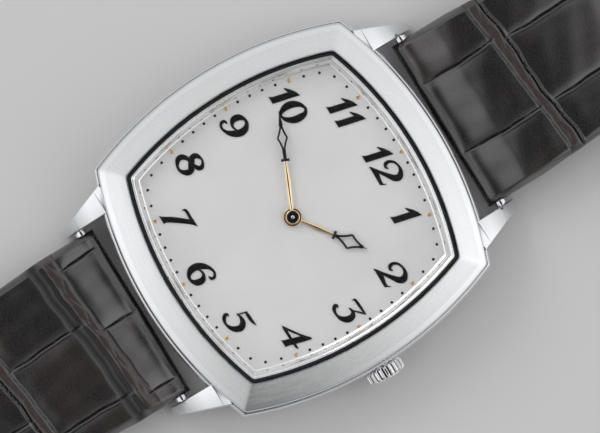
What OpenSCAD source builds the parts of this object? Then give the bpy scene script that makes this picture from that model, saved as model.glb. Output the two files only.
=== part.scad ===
// Automatic wristwatch with a cushion-shaped case, crocodile strap and pin buckle.
// +Z points up through the dial, +Y to 12 o'clock and +X to the crown at 3 o'clock.
// The origin is the middle of the case back's resting face. Lengths are millimetres.

/* [Case] */
// Half width of the case band, from the centre to the middle of a side
case_half = 20.5; // [20:0.1:22]
// How far each side's arc centre lies beyond the case centre
arc_back = 24.95; // [20:0.5:40]
// Thickness of the screwed case back
back_t = 1.2; // [1.1:0.05:1.6]
// How much the case back is narrower than the band, each side
back_inset = 0.9; // [0.5:0.1:1.2]
// Step of the band above the dial face, up to the bezel seat
band_step = 0.45; // [0.35:0.05:0.6]
// Edge break of the band, top and bottom
band_chamfer = 0.35; // [0.1:0.05:0.5]
// Wall between the round movement cavity and the middle of a side
case_wall = 5.3; // [5.2:0.05:5.5]
// Number of case back screws
back_screws = 8; // [6:1:10]
// Radius of a case back screw's shank
back_screw_r = 0.45; // [0.3:0.05:0.5]
// Radius of a case back screw's head
back_screw_head_r = 0.8; // [0.6:0.05:0.9]

/* [Lugs] */
// Gap between the strap's edge and a lug, each side
lug_play = 0.55; // [0.2:0.05:0.8]
// Width of a lug where it leaves the case
lug_root_w = 3.5; // [3:0.1:4]
// Width of a lug at its tip
lug_tip_w = 1.2; // [1:0.1:2]
// How far a lug's tip lies past the spring bar's axis
lug_past = 1.75; // [1.5:0.05:2.5]
// Radius of the curved top of a lug
lug_arc_r = 10.9; // [10:0.1:12]
// Height of a lug's top at its tip
lug_tip_z = 1.5; // [1.3:0.1:2]
// Distance of a spring bar's axis from the case band
bar_out = 1.85; // [1.8:0.05:2.1]
// Height of a spring bar
bar_z = 2.1; // [1.9:0.05:2.3]
// Radius of a spring bar
bar_r = 0.75; // [0.6:0.05:0.85]
// Radius of a spring bar's tip
bar_tip_r = 0.45; // [0.3:0.05:0.5]

/* [Bezel and crystal] */
// How much the bezel is narrower than the band, each side
bezel_inset = 0.45; // [0.3:0.05:0.6]
// Width of the bezel seen from above
bezel_w = 3.35; // [3.2:0.05:3.5]
// Height of the bezel's upright outer edge
bezel_edge_h = 0.45; // [0.3:0.05:0.6]
// Width of the bezel's polished chamfers
bezel_chamfer = 0.22; // [0.1:0.02:0.3]
// Radial thickness of the dark gasket round the crystal
gasket_t = 0.4; // [0.3:0.05:0.5]
// Thickness of the crystal
crystal_t = 1.05; // [0.8:0.05:1.3]
// Room between the dial face and the crystal
hand_room = 1.2; // [1.15:0.05:1.5]

/* [Dial] */
// Width of the flange ring round the dial
flange_w = 1.3; // [1.2:0.05:1.4]
// Thickness of the dial
dial_t = 0.4; // [0.3:0.05:0.5]
// Distance of the minute track from the dial's edge, at the middle of a side
track_in = 0.35; // [0.3:0.05:0.6]
// How far each arc centre of the minute track lies beyond the dial centre
track_back = 17.85; // [15:0.5:30]
// Radius of a minute dot
dot_r = 0.17; // [0.12:0.01:0.2]
// Radius of an hour pip
pip_r = 0.29; // [0.2:0.01:0.32]
// Height of a numeral
numeral_h = 3.2; // [2.8:0.1:3.4]
// Thickness of a numeral
numeral_t = 0.14; // [0.08:0.02:0.18]

/* [Hands] */
// Hour shown at rest
time_hour = 1; // [0:1:11]
// Minute shown at rest
time_minute = 49; // [0:1:59]
// Length of the minute hand from its axis
minute_len = 12.65; // [12:0.05:13]
// Length of the hour hand from its axis
hour_len = 9.6; // [9:0.05:10]
// Thickness of a hand
hand_t = 0.15; // [0.1:0.01:0.18]
// Radius of the hands' hubs
hub_r = 1.05; // [1:0.05:1.2]

/* [Movement] */
// Width of the ring between the movement and the case
casing_w = 1.7; // [1.6:0.05:1.8]
// Room for the rotor between the case back and the bridges
rotor_room = 1.2; // [1.2:0.05:1.4]
// Thickness of the bridges
bridge_t = 0.6; // [0.55:0.05:0.7]
// Room for the wheels between the bridges and the mainplate
train_room = 1.4; // [1.4:0.05:1.6]
// Thickness of the mainplate
plate_t = 0.8; // [0.7:0.05:1]
// Room for the motion work under the dial
motion_room = 0.4; // [0.4:0.05:0.5]
// Thickness of a wheel
wheel_t = 0.15; // [0.1:0.01:0.18]
// Radius of a pivot
pivot_r = 0.1; // [0.07:0.01:0.12]
// Running clearance of a pivot or shaft
run = 0.03; // [0.02:0.005:0.05]
// Radius of a jewel
jewel_r = 0.45; // [0.4:0.05:0.5]
// Radius of the balance wheel
balance_r = 3.45; // [3.3:0.05:3.5]
// Radius of the escape wheel at its tooth tips
escape_r = 2.2; // [2:0.05:2.25]

/* [Gears] */
// Teeth of the barrel
barrel_teeth = 72; // [66:1:76]
// Leaves of the centre pinion
centre_leaves = 12; // [10:1:12]
// Tooth module of barrel and centre pinion
barrel_module = 0.14; // [0.13:0.005:0.145]
// Teeth of the centre wheel
centre_teeth = 80; // [76:1:80]
// Teeth of the third wheel
third_teeth = 75; // [70:1:75]
// Teeth of the fourth wheel
fourth_teeth = 70; // [66:1:70]
// Leaves of the third and fourth pinions
train_leaves = 10; // [8:1:10]
// Leaves of the escape pinion
escape_leaves = 7; // [7:1:8]
// Teeth of the escape wheel
escape_teeth = 18; // [15:1:20]
// Tooth module of winding and automatic wheels
winding_module = 0.14; // [0.13:0.005:0.145]
// Teeth of the ratchet wheel
ratchet_teeth = 56; // [54:1:57]
// Teeth of the crown wheel
crown_teeth = 40; // [38:1:40]
// Teeth of the winding pinion
pinion_teeth = 14; // [12:1:15]

/* [Crown] */
// Radius of the crown over its flutes
crown_r = 2.35; // [2.1:0.05:2.5]
// Length of the crown
crown_len = 1.5; // [1.2:0.05:1.8]
// Gap between the case band and the crown
crown_gap = 0.15; // [0.1:0.05:0.3]
// Number of flutes round the crown
flutes = 22; // [18:1:26]
// Radius of the winding stem
stem_r = 0.45; // [0.42:0.01:0.46]
// How far the crown pulls out
crown_pull = 1.1; // [0.8:0.05:1.2]

/* [Strap] */
// Width of the strap at the case
strap_w = 22.5; // [20:0.1:23]
// Width of the strap past its taper
strap_end_w = 18; // [16:0.2:18.4]
// Length of the buckle half, from its spring bar to the buckle bar
upper_len = 75; // [70:1:85]
// Length of the holed half, from its spring bar to the tip
lower_len = 115; // [105:1:125]
// Length of the taper from the case
taper_len = 40; // [30:1:45]
// Greatest height of the padding over the ground
pad_top = 4.5; // [4.2:0.1:5]
// Thickness of the strap past its padding
strap_t = 2.35; // [2.1:0.05:2.5]
// Thickness of the lining leather
lining_t = 0.7; // [0.5:0.05:0.8]
// Height of the buckle half's underside over the ground
strap_lift = 0.95; // [0.8:0.05:1]
// Number of buckle holes
hole_count = 7; // [5:1:8]
// Spacing of the buckle holes
hole_step = 6.5; // [6:0.1:7]
// Radius of a buckle hole
hole_r = 1.1; // [0.9:0.05:1.3]

/* [Buckle and keepers] */
// Radius of the buckle bar
buckle_bar_r = 0.6; // [0.5:0.05:0.65]
// Length of the buckle frame past its bar
buckle_len = 11.5; // [10:0.5:13]
// Width of the buckle frame's sides
buckle_side = 1.9; // [1.5:0.1:2.4]
// Width of the buckle tang
tang_w = 2; // [1.6:0.1:2.4]
// Width of a keeper along the strap
keeper_w = 5; // [4:0.5:6]
// Thickness of a keeper's leather
keeper_t = 1.1; // [0.8:0.1:1.3]
// Clear height inside a keeper over the strap
keeper_room = 1.7; // [1.2:0.1:2.4]

/* [Hidden] */
$fn = 96;
eps = 0.01;

// Widths of the head, worked inwards from the case band
bezel_half = case_half - bezel_inset;
opening_half = bezel_half - bezel_w;
dial_half = opening_half - flange_w;
track_half = dial_half - track_in;
cavity_r = case_half - case_wall;
move_r = cavity_r - casing_w;
window_r = cavity_r - 1.8;
bar_y = case_half + bar_out;
lug_reach = bar_y + lug_past;
lug_gap = strap_w + 2 * lug_play;

// Heights of the stack, from the case back up
z_bridge = back_t + rotor_room;
z_train = z_bridge + bridge_t;
z_plate = z_train + train_room;
z_motion = z_plate + plate_t;
z_dial = z_motion + motion_room;
z_face = z_dial + dial_t;
z_bezel = z_face + band_step;
z_crystal = z_face + hand_room;
z_crystal_top = z_crystal + crystal_t;
gasket_half = opening_half - 0.02;
crystal_half = gasket_half - gasket_t;

// Winding wheels lie in pockets of the bridges' outer faces
pocket_depth = 0.42;
z_pocket = z_bridge + pocket_depth;
winding_t = 0.35;
z_winding = z_bridge + 0.02;
z_stem = z_winding + winding_t / 2 + winding_module * pinion_teeth / 2;

// Levels of the wheels over the bridges' inner faces
centre_up = train_room - wheel_t - 0.1;
third_up = 0.5;
fourth_up = 0.15;
escape_up = 0.75;
balance_up = 0.2;

// Pitch radii and centre distances of the going train
centre_module = 0.11;
third_module = 0.1;
fourth_module = 0.09;
function pitch_r(teeth, m) = teeth * m / 2;
function polar(r, a) = [r * cos(a), r * sin(a)];
barrel_at = polar(pitch_r(barrel_teeth + centre_leaves, barrel_module), 60);
third_at = polar(pitch_r(centre_teeth + train_leaves, centre_module), -75);
fourth_at = third_at + polar(pitch_r(third_teeth + train_leaves, third_module), 200);
escape_at = fourth_at + polar(pitch_r(fourth_teeth + escape_leaves, fourth_module), 135);
balance_at = [-8, 2.5];
escapement_dir = balance_at - escape_at;
escapement_angle = atan2(escapement_dir[1], escapement_dir[0]);
fork_back = 2.6;
fork_at = escape_at + polar(fork_back, escapement_angle);

// Winding train: the crown wheel sits on the stem's line, so the pinion meets its rim
ratchet_pitch = pitch_r(ratchet_teeth, winding_module);
crown_pitch = pitch_r(crown_teeth, winding_module);
crown_at = [barrel_at[0] + sqrt(pow(ratchet_pitch + crown_pitch, 2) - pow(barrel_at[1], 2)), 0];
pinion_x = crown_at[0] + crown_pitch;
pinion_len = 0.5;

// Automatic train: rotor pinion, then a winding wheel beside the ratchet wheel
rotor_leaves = 24;
auto_teeth = 44;
auto_leaves = 12;
auto_reach = pitch_r(rotor_leaves + auto_teeth, winding_module);
auto_gap = 0.25;
auto_far = ratchet_pitch + pitch_r(auto_leaves, winding_module) + auto_gap;
barrel_far = norm(barrel_at);
auto_turn = acos((pow(auto_reach, 2) + pow(barrel_far, 2) - pow(auto_far, 2)) / (2 * auto_reach * barrel_far));
auto_at = polar(auto_reach, 60 + auto_turn);
z_auto = z_bridge - 0.25;

// Motion work
cannon_teeth = 12;
minute_teeth = 36;
minute_leaves = 10;
hour_teeth = 40;
motion_module = 0.12;
motion_far = pitch_r(cannon_teeth + minute_teeth, motion_module);
hour_module = 2 * motion_far / (minute_leaves + hour_teeth);
minute_wheel_angle = 20;
minute_wheel_at = polar(motion_far, minute_wheel_angle);
arbor_r = 0.35;
cannon_r = 0.6;
hour_tube_r = 0.9;
z_hour_hand = z_face + 0.28;
z_minute_hand = z_hour_hand + hand_t + 0.28;

// Keyless work along the stem
sliding_x = pinion_x - 1.83;
sliding_len = 1.3;
sliding_travel = 0.9;
sliding_r = z_stem - z_pocket - 0.035;
square_w = 0.5;
groove_x = pinion_x + 0.8;
groove_w = 0.4;
lever_r = 2.94;
lever_pin = [groove_x + groove_w / 2, 0.42];
lever_at = lever_pin + [crown_pull / 2, sqrt(pow(lever_r, 2) - pow(crown_pull / 2, 2))];
lever_boss_r = 0.55;
yoke_r = 3;
yoke_tip = [sliding_x + sliding_len / 2, 0.02 - sliding_r];
yoke_at = [yoke_tip[0] - sliding_travel / 2, yoke_tip[1] - sqrt(pow(yoke_r, 2) - pow(sliding_travel / 2, 2))];
click_at = barrel_at + polar(ratchet_pitch + 1.6, 100);

// Places of the posts that carry the bridges
rim_w = 1;
post_r = 0.9;
post_far = move_r - 1.6;
barrel_posts = [for (a = [25, 95, 125, -22.5]) polar(post_far, a)];
train_posts = [for (a = [-50, -95, -130]) polar(post_far, a)];
cock_foot = polar(move_r - 2, 198.75);
pallet_foot = fork_at - polar(2.3, escapement_angle - 90);
screw_r = 0.3;
screw_head_r = 0.58;

// Crown and tube
crown_x = case_half + crown_gap;
tube_r = 1;
tube_end = crown_x + 0.75;

// Strap lines
bar_room = 0.05;
strap_eye_r = 1.45;
upper_end = bar_y + upper_len;
lower_end = bar_y + lower_len;
buckle_z = strap_lift + strap_t / 2;
buckle_eye_r = 1.2;
loop_inset = 0.03;
keeper_in = strap_end_w / 2 + 0.3;
hole_first = 30;
slot_w = tang_w + 1.2;

// The cushion outline: four arcs that meet in blunt corners
module cushion(half) {
    intersection_for(a = [0, 90, 180, 270])
        rotate(a) translate([-arc_back, 0]) circle(r = half + arc_back, $fn = 240);
}

module cushion_plate(half, z0, z1) {
    translate([0, 0, z0]) linear_extrude(height = z1 - z0) cushion(half);
}

// A cushion whose half width runs from half0 at z0 to half1 at z1, with crisp corner creases
module cushion_frustum(half0, half1, z0, z1) {
    intersection_for(a = [0, 90, 180, 270])
        rotate([0, 0, a]) translate([-arc_back, 0, z0])
            cylinder(h = z1 - z0, r1 = half0 + arc_back, r2 = half1 + arc_back, $fn = 240);
}

module ring(r_out, r_in, z0, z1) {
    translate([0, 0, z0]) difference() {
        cylinder(h = z1 - z0, r = r_out);
        translate([0, 0, -1]) cylinder(h = z1 - z0 + 2, r = r_in);
    }
}

module rod(p, r, z0, z1) {
    translate([p[0], p[1], z0]) cylinder(h = z1 - z0, r = r);
}

// A rod along X through the stem's line
module x_rod(r, x0, x1) {
    translate([x0, 0, z_stem]) rotate([0, 90, 0]) cylinder(h = x1 - x0, r = r);
}

module both_ends() {
    children();
    mirror([0, 1, 0]) children();
}

module both_sides() {
    children();
    mirror([1, 0, 0]) children();
}

// Teeth with straight flanks: root, tip, tip and root points for each tooth
function gear_points(teeth, m) = [for (k = [0:teeth - 1], c = [0:3])
    let (pitch = 360 / teeth, r = pitch_r(teeth, m) + [-1.15, 0.85, 0.85, -1.15][c] * m,
        share = [-0.33, -0.11, 0.11, 0.33][c])
    polar(r, (k + share) * pitch)];

module gear(teeth, m, bore) {
    difference() {
        polygon(gear_points(teeth, m));
        if (bore > 0) circle(r = bore, $fn = 48);
    }
}

// A toothed wheel with a hub, a rim and spokes between them
module spoked_gear(teeth, m, hub, spokes) {
    root = pitch_r(teeth, m) - 1.15 * m;
    difference() {
        polygon(gear_points(teeth, m));
        difference() {
            circle(r = root - 0.4);
            circle(r = hub);
            for (k = [0:spokes - 1]) rotate(k * 360 / spokes) translate([0, -0.2]) square([root, 0.4]);
        }
    }
}

// Turn of gear B that puts it in mesh with gear A, which is turned by turn_a and lies at beta from it
function mesh_turn(turn_a, teeth_a, beta, teeth_b) =
    360 / teeth_b * (0.5 - (turn_a - beta) * teeth_a / 360) + beta + 180;

function heading(a, b) = atan2(b[1] - a[1], b[0] - a[0]);

centre_pinion_turn = mesh_turn(0, barrel_teeth, heading(barrel_at, [0, 0]), centre_leaves);
third_pinion_turn = mesh_turn(0, centre_teeth, heading([0, 0], third_at), train_leaves);
fourth_pinion_turn = mesh_turn(0, third_teeth, heading(third_at, fourth_at), train_leaves);
escape_pinion_turn = mesh_turn(0, fourth_teeth, heading(fourth_at, escape_at), escape_leaves);
minute_turn = mesh_turn(0, cannon_teeth, minute_wheel_angle, minute_teeth);
hour_turn = mesh_turn(0, minute_leaves, minute_wheel_angle + 180, hour_teeth);
crown_turn = 180 / crown_teeth;
ratchet_turn = mesh_turn(crown_turn, crown_teeth, heading(crown_at, barrel_at), ratchet_teeth);
auto_wheel_turn = mesh_turn(0, rotor_leaves, 60 + auto_turn, auto_teeth);

// An arbor with a thin pivot at each end, from the bridge jewel to the mainplate jewel
module arbor(p, r) {
    rod(p, r, z_train + 0.03, z_plate - 0.03);
    rod(p, pivot_r, z_train - 0.5, z_plate + 0.35);
}

module disc(p, teeth, m, z0, h, turn, bore) {
    translate([p[0], p[1], z0]) rotate([0, 0, turn]) linear_extrude(height = h) gear(teeth, m, bore);
}

module spoked_disc(p, teeth, m, z0, hub, spokes) {
    translate([p[0], p[1], z0]) linear_extrude(height = wheel_t) spoked_gear(teeth, m, hub, spokes);
}

// A flat ribbon wound as a spiral, as one outline
module spiral(r0, r1, turns, w, steps) {
    n = turns * steps;
    function at(i, side) = polar(r0 + (r1 - r0) * i / n + side * w / 2, 360 * i / steps);
    polygon(concat([for (i = [0:n]) at(i, 1)], [for (i = [n:-1:0]) at(i, -1)]));
}

module case_middle() {
    color([0.86, 0.87, 0.88]) difference() {
        union() {
            intersection() {
                cushion_plate(case_half, back_t, z_bezel);
                cushion_frustum(case_half + z_bezel - band_chamfer, case_half - band_chamfer, 0, z_bezel);
                cushion_frustum(case_half - band_chamfer, case_half - band_chamfer + z_bezel,
                    back_t, back_t + z_bezel);
            }
            both_ends() both_sides() lug();
        }
        cushion_plate(bezel_half, z_bezel, z_bezel + 3);
        cushion_plate(case_half - back_inset, -1, back_t);
        translate([0, 0, -1]) cylinder(h = z_dial + 2, r = cavity_r);
        cushion_plate(dial_half + 0.05, z_dial, z_bezel + 1);
        cushion_plate(opening_half, z_face, z_bezel + 1);
        for (k = [0:back_screws - 1])
            rod(screw_place(k), back_screw_r + 0.01, back_t - 1, back_t + 2.3);
        both_ends() both_sides() translate([lug_gap / 2 - 1, bar_y, bar_z])
            rotate([0, 90, 0]) cylinder(h = 1.6, r = bar_tip_r + 0.02);
        x_rod(tube_r, cavity_r - 2, case_half + 2);
    }
}

function screw_place(k) = polar(case_half - 2.6, 360 / back_screws * (k + 0.5));

// One lug: its plan outline cut by its side profile, whose top is a true arc
module lug() {
    root_y = case_half - 3.5;
    arc_y = lug_reach - 9.6;
    arc_z = lug_tip_z - sqrt(pow(lug_arc_r, 2) - pow(lug_reach - arc_y, 2));
    tip_low = 0.45;
    intersection() {
        linear_extrude(height = 12) polygon([[lug_gap / 2, root_y], [lug_gap / 2 + lug_root_w, root_y],
            [lug_gap / 2 + lug_root_w, root_y + 0.3], [lug_gap / 2 + lug_tip_w, lug_reach - 0.25],
            [lug_gap / 2 + lug_tip_w - 0.25, lug_reach], [lug_gap / 2, lug_reach]]);
        rotate([90, 0, 90]) linear_extrude(height = 40) intersection() {
            translate([arc_y, arc_z]) circle(r = lug_arc_r, $fn = 120);
            polygon([[root_y - 1, back_t], [root_y, back_t], [lug_reach - 0.4, tip_low],
                [lug_reach, tip_low + 0.3], [lug_reach, 9], [root_y - 1, 9]]);
        }
    }
}

module bezel() {
    rise = z_crystal_top - 0.05 - z_bezel - bezel_edge_h;
    slope = (bezel_half - opening_half) / rise;
    edge_half = bezel_half + bezel_edge_h - bezel_chamfer / 2;
    color([0.8, 0.81, 0.83]) difference() {
        intersection() {
            cushion_plate(bezel_half, z_bezel, z_crystal_top);
            cushion_frustum(bezel_half + bezel_edge_h * slope, opening_half - 0.05 * slope,
                z_bezel, z_crystal_top);
            cushion_frustum(edge_half, edge_half - (z_crystal_top - z_bezel), z_bezel, z_crystal_top);
        }
        cushion_plate(opening_half, z_bezel - 1, z_crystal_top + 1);
        cushion_frustum(opening_half - 0.3, opening_half + bezel_chamfer + 0.3,
            z_crystal_top - bezel_chamfer - 0.42, z_crystal_top + 0.3);
    }
}

module crystal() {
    edge = 0.18;
    color([0.9, 0.95, 1, 0.3]) intersection() {
        cushion_plate(crystal_half, z_crystal, z_crystal_top);
        cushion_frustum(crystal_half + crystal_t - edge, crystal_half - edge, z_crystal, z_crystal_top);
    }
}

module crystal_gasket() {
    color([0.04, 0.04, 0.05]) difference() {
        cushion_plate(gasket_half, z_crystal, z_crystal_top - 0.4);
        cushion_plate(crystal_half, z_crystal - 1, z_crystal_top);
    }
}

// The bright ring that leads from the dial up to the crystal
module flange_ring() {
    color([0.85, 0.86, 0.88]) difference() {
        cushion_plate(opening_half - 0.02, z_face, z_crystal);
        cushion_frustum(dial_half - 0.1, crystal_half - 0.05, z_face - eps, z_crystal + eps);
    }
}

module dial() {
    color([0.82, 0.83, 0.83]) difference() {
        cushion_plate(dial_half, z_dial, z_face);
        rod([0, 0], hour_tube_r + 0.1, z_dial - 1, z_face + 1);
    }
}

// Where the ray at a degrees from 12 o'clock meets the cushion-shaped minute track
function track_place(a) =
    let (quarter = a - 90 * round(a / 90), r = track_half + track_back,
        s = track_back * sin(quarter), reach = sqrt(r * r - s * s) - track_back * cos(quarter))
    [reach * sin(a), reach * cos(a)];

module minute_dots() {
    color([0.1, 0.1, 0.1]) for (k = [0:59]) if (k % 5 != 0)
        rod(track_place(6 * k), dot_r, z_face, z_face + 0.04, $fn = 24);
}

module hour_pips() {
    pip_h = 0.1;
    sphere_r = (pip_r * pip_r + pip_h * pip_h) / (2 * pip_h);
    color([0.8, 0.6, 0.42]) for (k = [0:11]) translate(concat(track_place(30 * k), z_face))
        intersection() {
            translate([0, 0, pip_h - sphere_r]) sphere(r = sphere_r, $fn = 48);
            cylinder(h = 1, r = 2);
        }
}

// Strokes of the figures: points [x, y, width] in units of the figure's height, before slanting
slant = 0.24;
one_strokes = [[[0.2, 0.03, 0.17], [0.2, 0.3, 0.17], [0.2, 0.6, 0.17], [0.2, 0.95, 0.15]],
    [[0.2, 0.94, 0.07], [0.12, 0.84, 0.06], [-0.02, 0.79, 0.03]],
    [[0.02, 0.02, 0.04], [0.2, 0.03, 0.06], [0.38, 0.02, 0.04]]];
two_strokes = [[[0.07, 0.75, 0.15], [0.09, 0.86, 0.1], [0.25, 0.965, 0.06], [0.44, 0.93, 0.13],
    [0.52, 0.76, 0.17], [0.42, 0.53, 0.12], [0.2, 0.3, 0.06], [0.06, 0.1, 0.05]],
    [[0.02, 0.07, 0.1], [0.2, 0.09, 0.15], [0.4, 0.06, 0.15], [0.54, 0.1, 0.08], [0.57, 0.2, 0.03]]];
three_strokes = [[[0.1, 0.94, 0.05], [0.3, 0.955, 0.08], [0.55, 0.96, 0.05]],
    [[0.55, 0.95, 0.04], [0.4, 0.76, 0.05], [0.27, 0.6, 0.05]],
    [[0.25, 0.59, 0.05], [0.42, 0.56, 0.11], [0.49, 0.36, 0.17], [0.42, 0.13, 0.13], [0.25, 0.04, 0.06],
        [0.1, 0.08, 0.08], [0.05, 0.19, 0.15]]];
four_strokes = [[[0.45, 0.98, 0.05], [0.25, 0.65, 0.06], [0.02, 0.31, 0.05]],
    [[0, 0.3, 0.07], [0.3, 0.29, 0.09], [0.6, 0.31, 0.06]],
    [[0.44, 0.98, 0.06], [0.43, 0.6, 0.15], [0.43, 0.25, 0.17], [0.43, 0.03, 0.17]],
    [[0.28, 0.02, 0.04], [0.43, 0.03, 0.05], [0.57, 0.02, 0.04]]];
five_strokes = [[[0.17, 0.93, 0.05], [0.35, 0.95, 0.1], [0.6, 0.98, 0.05]],
    [[0.18, 0.94, 0.05], [0.14, 0.75, 0.05], [0.12, 0.56, 0.05]],
    [[0.12, 0.55, 0.04], [0.3, 0.62, 0.08], [0.46, 0.5, 0.15], [0.48, 0.3, 0.17], [0.39, 0.1, 0.12],
        [0.24, 0.04, 0.06], [0.1, 0.08, 0.08], [0.05, 0.18, 0.14]]];
six_strokes = [[[0.53, 0.87, 0.1], [0.5, 0.955, 0.05], [0.36, 0.95, 0.05], [0.17, 0.75, 0.11],
    [0.08, 0.42, 0.17], [0.12, 0.16, 0.14], [0.28, 0.03, 0.06], [0.44, 0.12, 0.12], [0.49, 0.33, 0.16],
    [0.42, 0.52, 0.1], [0.3, 0.57, 0.05], [0.15, 0.48, 0.04]]];
seven_strokes = [[[0.06, 0.8, 0.04], [0.08, 0.93, 0.1], [0.3, 0.93, 0.13], [0.58, 0.95, 0.06]],
    [[0.57, 0.96, 0.04], [0.42, 0.7, 0.08], [0.3, 0.4, 0.13], [0.25, 0.03, 0.19]]];
eight_strokes = [[[0.46, 0.77, 0.12], [0.4, 0.93, 0.07], [0.28, 0.97, 0.05], [0.15, 0.88, 0.12],
    [0.16, 0.7, 0.16], [0.3, 0.54, 0.17], [0.45, 0.38, 0.17], [0.46, 0.17, 0.14], [0.28, 0.03, 0.05],
    [0.1, 0.13, 0.12], [0.08, 0.32, 0.12], [0.2, 0.47, 0.05], [0.38, 0.6, 0.05], [0.46, 0.77, 0.12]]];
zero_strokes = [[[0.3, 0.97, 0.05], [0.16, 0.85, 0.13], [0.1, 0.5, 0.18], [0.15, 0.16, 0.13],
    [0.3, 0.03, 0.05], [0.45, 0.15, 0.13], [0.51, 0.5, 0.18], [0.45, 0.84, 0.13], [0.3, 0.97, 0.05]]];
nine_strokes = [[for (s = six_strokes[0]) [0.57 - s[0], 1 - s[1], s[2]]]];
figures = [zero_strokes, one_strokes, two_strokes, three_strokes, four_strokes, five_strokes,
    six_strokes, seven_strokes, eight_strokes, nine_strokes];

// Centres of the twelve hour figures, and the widths between two figures of one hour
hour_centres = [[0.5, 12.4], [6.9, 11.5], [11.7, 6.55], [12.7, -0.1], [11.9, -7.1], [7, -11.8],
    [0, -12.7], [-6.6, -11.7], [-11.9, -7], [-12.7, -0.25], [-11.4, 6.6], [-7.2, 11.8]];
hour_figures = [[1, 2], [1], [2], [3], [4], [5], [6], [7], [8], [9], [1, 0], [1, 1]];
figure_widths = [0.6, 0.4, 0.58, 0.55, 0.6, 0.58, 0.57, 0.58, 0.56, 0.57];
figure_gap = 0.06;
dial_scale = dial_half / 15.4;

// A point between four stroke points, by the Catmull-Rom rule
function spline(p, t) = 0.5 * (2 * p[1] + (p[2] - p[0]) * t + (2 * p[0] - 5 * p[1] + 4 * p[2] - p[3]) * t * t
    + (3 * p[1] - p[0] - 3 * p[2] + p[3]) * t * t * t);
function stroke_path(s, steps) = let (n = len(s)) [for (i = [0:n - 2], k = [0:steps - 1])
    spline([s[max(i - 1, 0)], s[i], s[i + 1], s[min(i + 2, n - 1)]], k / steps), s[n - 1]];
function slanted(p) = [p[0] + slant * p[1], p[1], p[2]];

module stroke(s) {
    path = [for (p = stroke_path(s, len(s) > 4 ? 3 : 2)) slanted(p)];
    n = len(path);
    function step(i) = path[min(i + 1, n - 1)] - path[max(i - 1, 0)];
    function along(i) = let (d = step(i)) [d[0], d[1]] / norm([d[0], d[1]]);
    function side(i, k) = let (a = along(i), w = k * path[i][2] / 2)
        [path[i][0] - w * a[1], path[i][1] + w * a[0]];
    for (i = [0:n - 2]) polygon([side(i, 1), side(i + 1, 1), side(i + 1, -1), side(i, -1)]);
}

module figure(digit) {
    union() {
        for (s = figures[digit]) stroke(s);
        for (s = figures[digit]) if (len(s) > 4) for (end = [s[0], s[len(s) - 1]])
            translate([slanted(end)[0], end[1]]) circle(r = end[2] / 2, $fn = 20);
    }
}

module dial_numerals() {
    color([0.05, 0.05, 0.05]) for (h = [0:11]) {
        f = hour_figures[h];
        w = figure_widths[f[0]] + (len(f) > 1 ? figure_widths[f[1]] + figure_gap : 0);
        translate(concat(dial_scale * hour_centres[h], z_face)) linear_extrude(height = numeral_t)
            scale(numeral_h) for (k = [0:len(f) - 1])
                translate([(k == 0 ? 0 : figure_widths[f[0]] + figure_gap) - w / 2 - slant / 2, -0.5])
                    figure(f[k]);
    }
}

// A hand that points to 12: leaf-shaped shaft, crossbar, pierced figure and spike on a round hub
module hand(len, bar_at, eye0, eye1, eye_half, waist, bore) {
    mid = (eye0 + eye1) / 2;
    wire = 0.16;
    low = eye0 + (mid - eye0) * 0.55;
    high = eye1 - (eye1 - mid) * 0.55;
    side = [[0.16, 0], [0.3, bar_at * 0.6], [0.14, bar_at - 0.32], [0.2, bar_at - 0.12], [0.5, bar_at - 0.12],
        [0.5, bar_at + 0.12], [0.2, bar_at + 0.12], [0.12, eye0], [waist, low], [eye_half, mid],
        [waist, high], [0.1, eye1], [0.03, len]];
    eye = [[0.03, eye0 + 0.3], [waist - wire, low + 0.05], [eye_half - 1.6 * wire, mid],
        [waist - wire, high - 0.05], [0.03, eye1 - 0.3]];
    difference() {
        union() {
            cylinder(h = hand_t, r = hub_r);
            linear_extrude(height = hand_t) polygon(both_halves(side));
        }
        translate([0, 0, -1]) linear_extrude(height = hand_t + 2) polygon(both_halves(eye));
        translate([0, 0, -1]) cylinder(h = hand_t + 2, r = bore);
    }
}

// The points of a right-hand side, followed by the same points mirrored, in closing order
function both_halves(side) = concat(side, [for (i = [len(side) - 1:-1:0]) [-side[i][0], side[i][1]]]);

module hour_hand() {
    color([0.84, 0.65, 0.38]) translate([0, 0, z_hour_hand]) rotate([0, 0, -30 * time_hour - time_minute / 2])
        hand(hour_len, 5.35, 5.7, 8.9, 1, 0.42, hour_tube_r);
}

module minute_hand() {
    color([0.84, 0.65, 0.38]) translate([0, 0, z_minute_hand]) rotate([0, 0, -6 * time_minute])
        hand(minute_len, 6.8, 7.9, 11, 0.68, 0.36, cannon_r);
}

module movement_ring() {
    color([0.75, 0.72, 0.6]) difference() {
        ring(cavity_r - 0.02, move_r + 0.02, z_train - 0.4, z_dial);
        x_rod(stem_r + 0.15, move_r - 1, cavity_r + 1);
    }
}

// The window seat, the screw seats and the gasket groove are cut in the back
gasket_r0 = cavity_r + 0.4;
gasket_r1 = cavity_r + 1.2;
module case_back_ring() {
    color([0.86, 0.87, 0.88]) difference() {
        intersection() {
            cushion_plate(case_half - back_inset - 0.02, 0, back_t);
            cushion_frustum(case_half - back_inset - 0.35, case_half - back_inset + 2.65, 0, 3);
        }
        translate([0, 0, 0.2]) cylinder(h = back_t, r = window_r);
        translate([0, 0, -1]) cylinder(h = back_t + 2, r = window_r - 0.5);
        ring(gasket_r1, gasket_r0, back_t - 0.3, back_t + 1);
        for (k = [0:back_screws - 1]) {
            rod(screw_place(k), back_screw_head_r + 0.02, -1, 0.55);
            rod(screw_place(k), back_screw_r + 0.05, 0, back_t + 1);
        }
    }
}

module case_back_crystal() {
    color([0.9, 0.95, 1, 0.3]) {
        rod([0, 0], window_r - 0.52, 0, 0.5);
        rod([0, 0], window_r - 0.02, 0.2, back_t - 0.05);
    }
}

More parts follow.
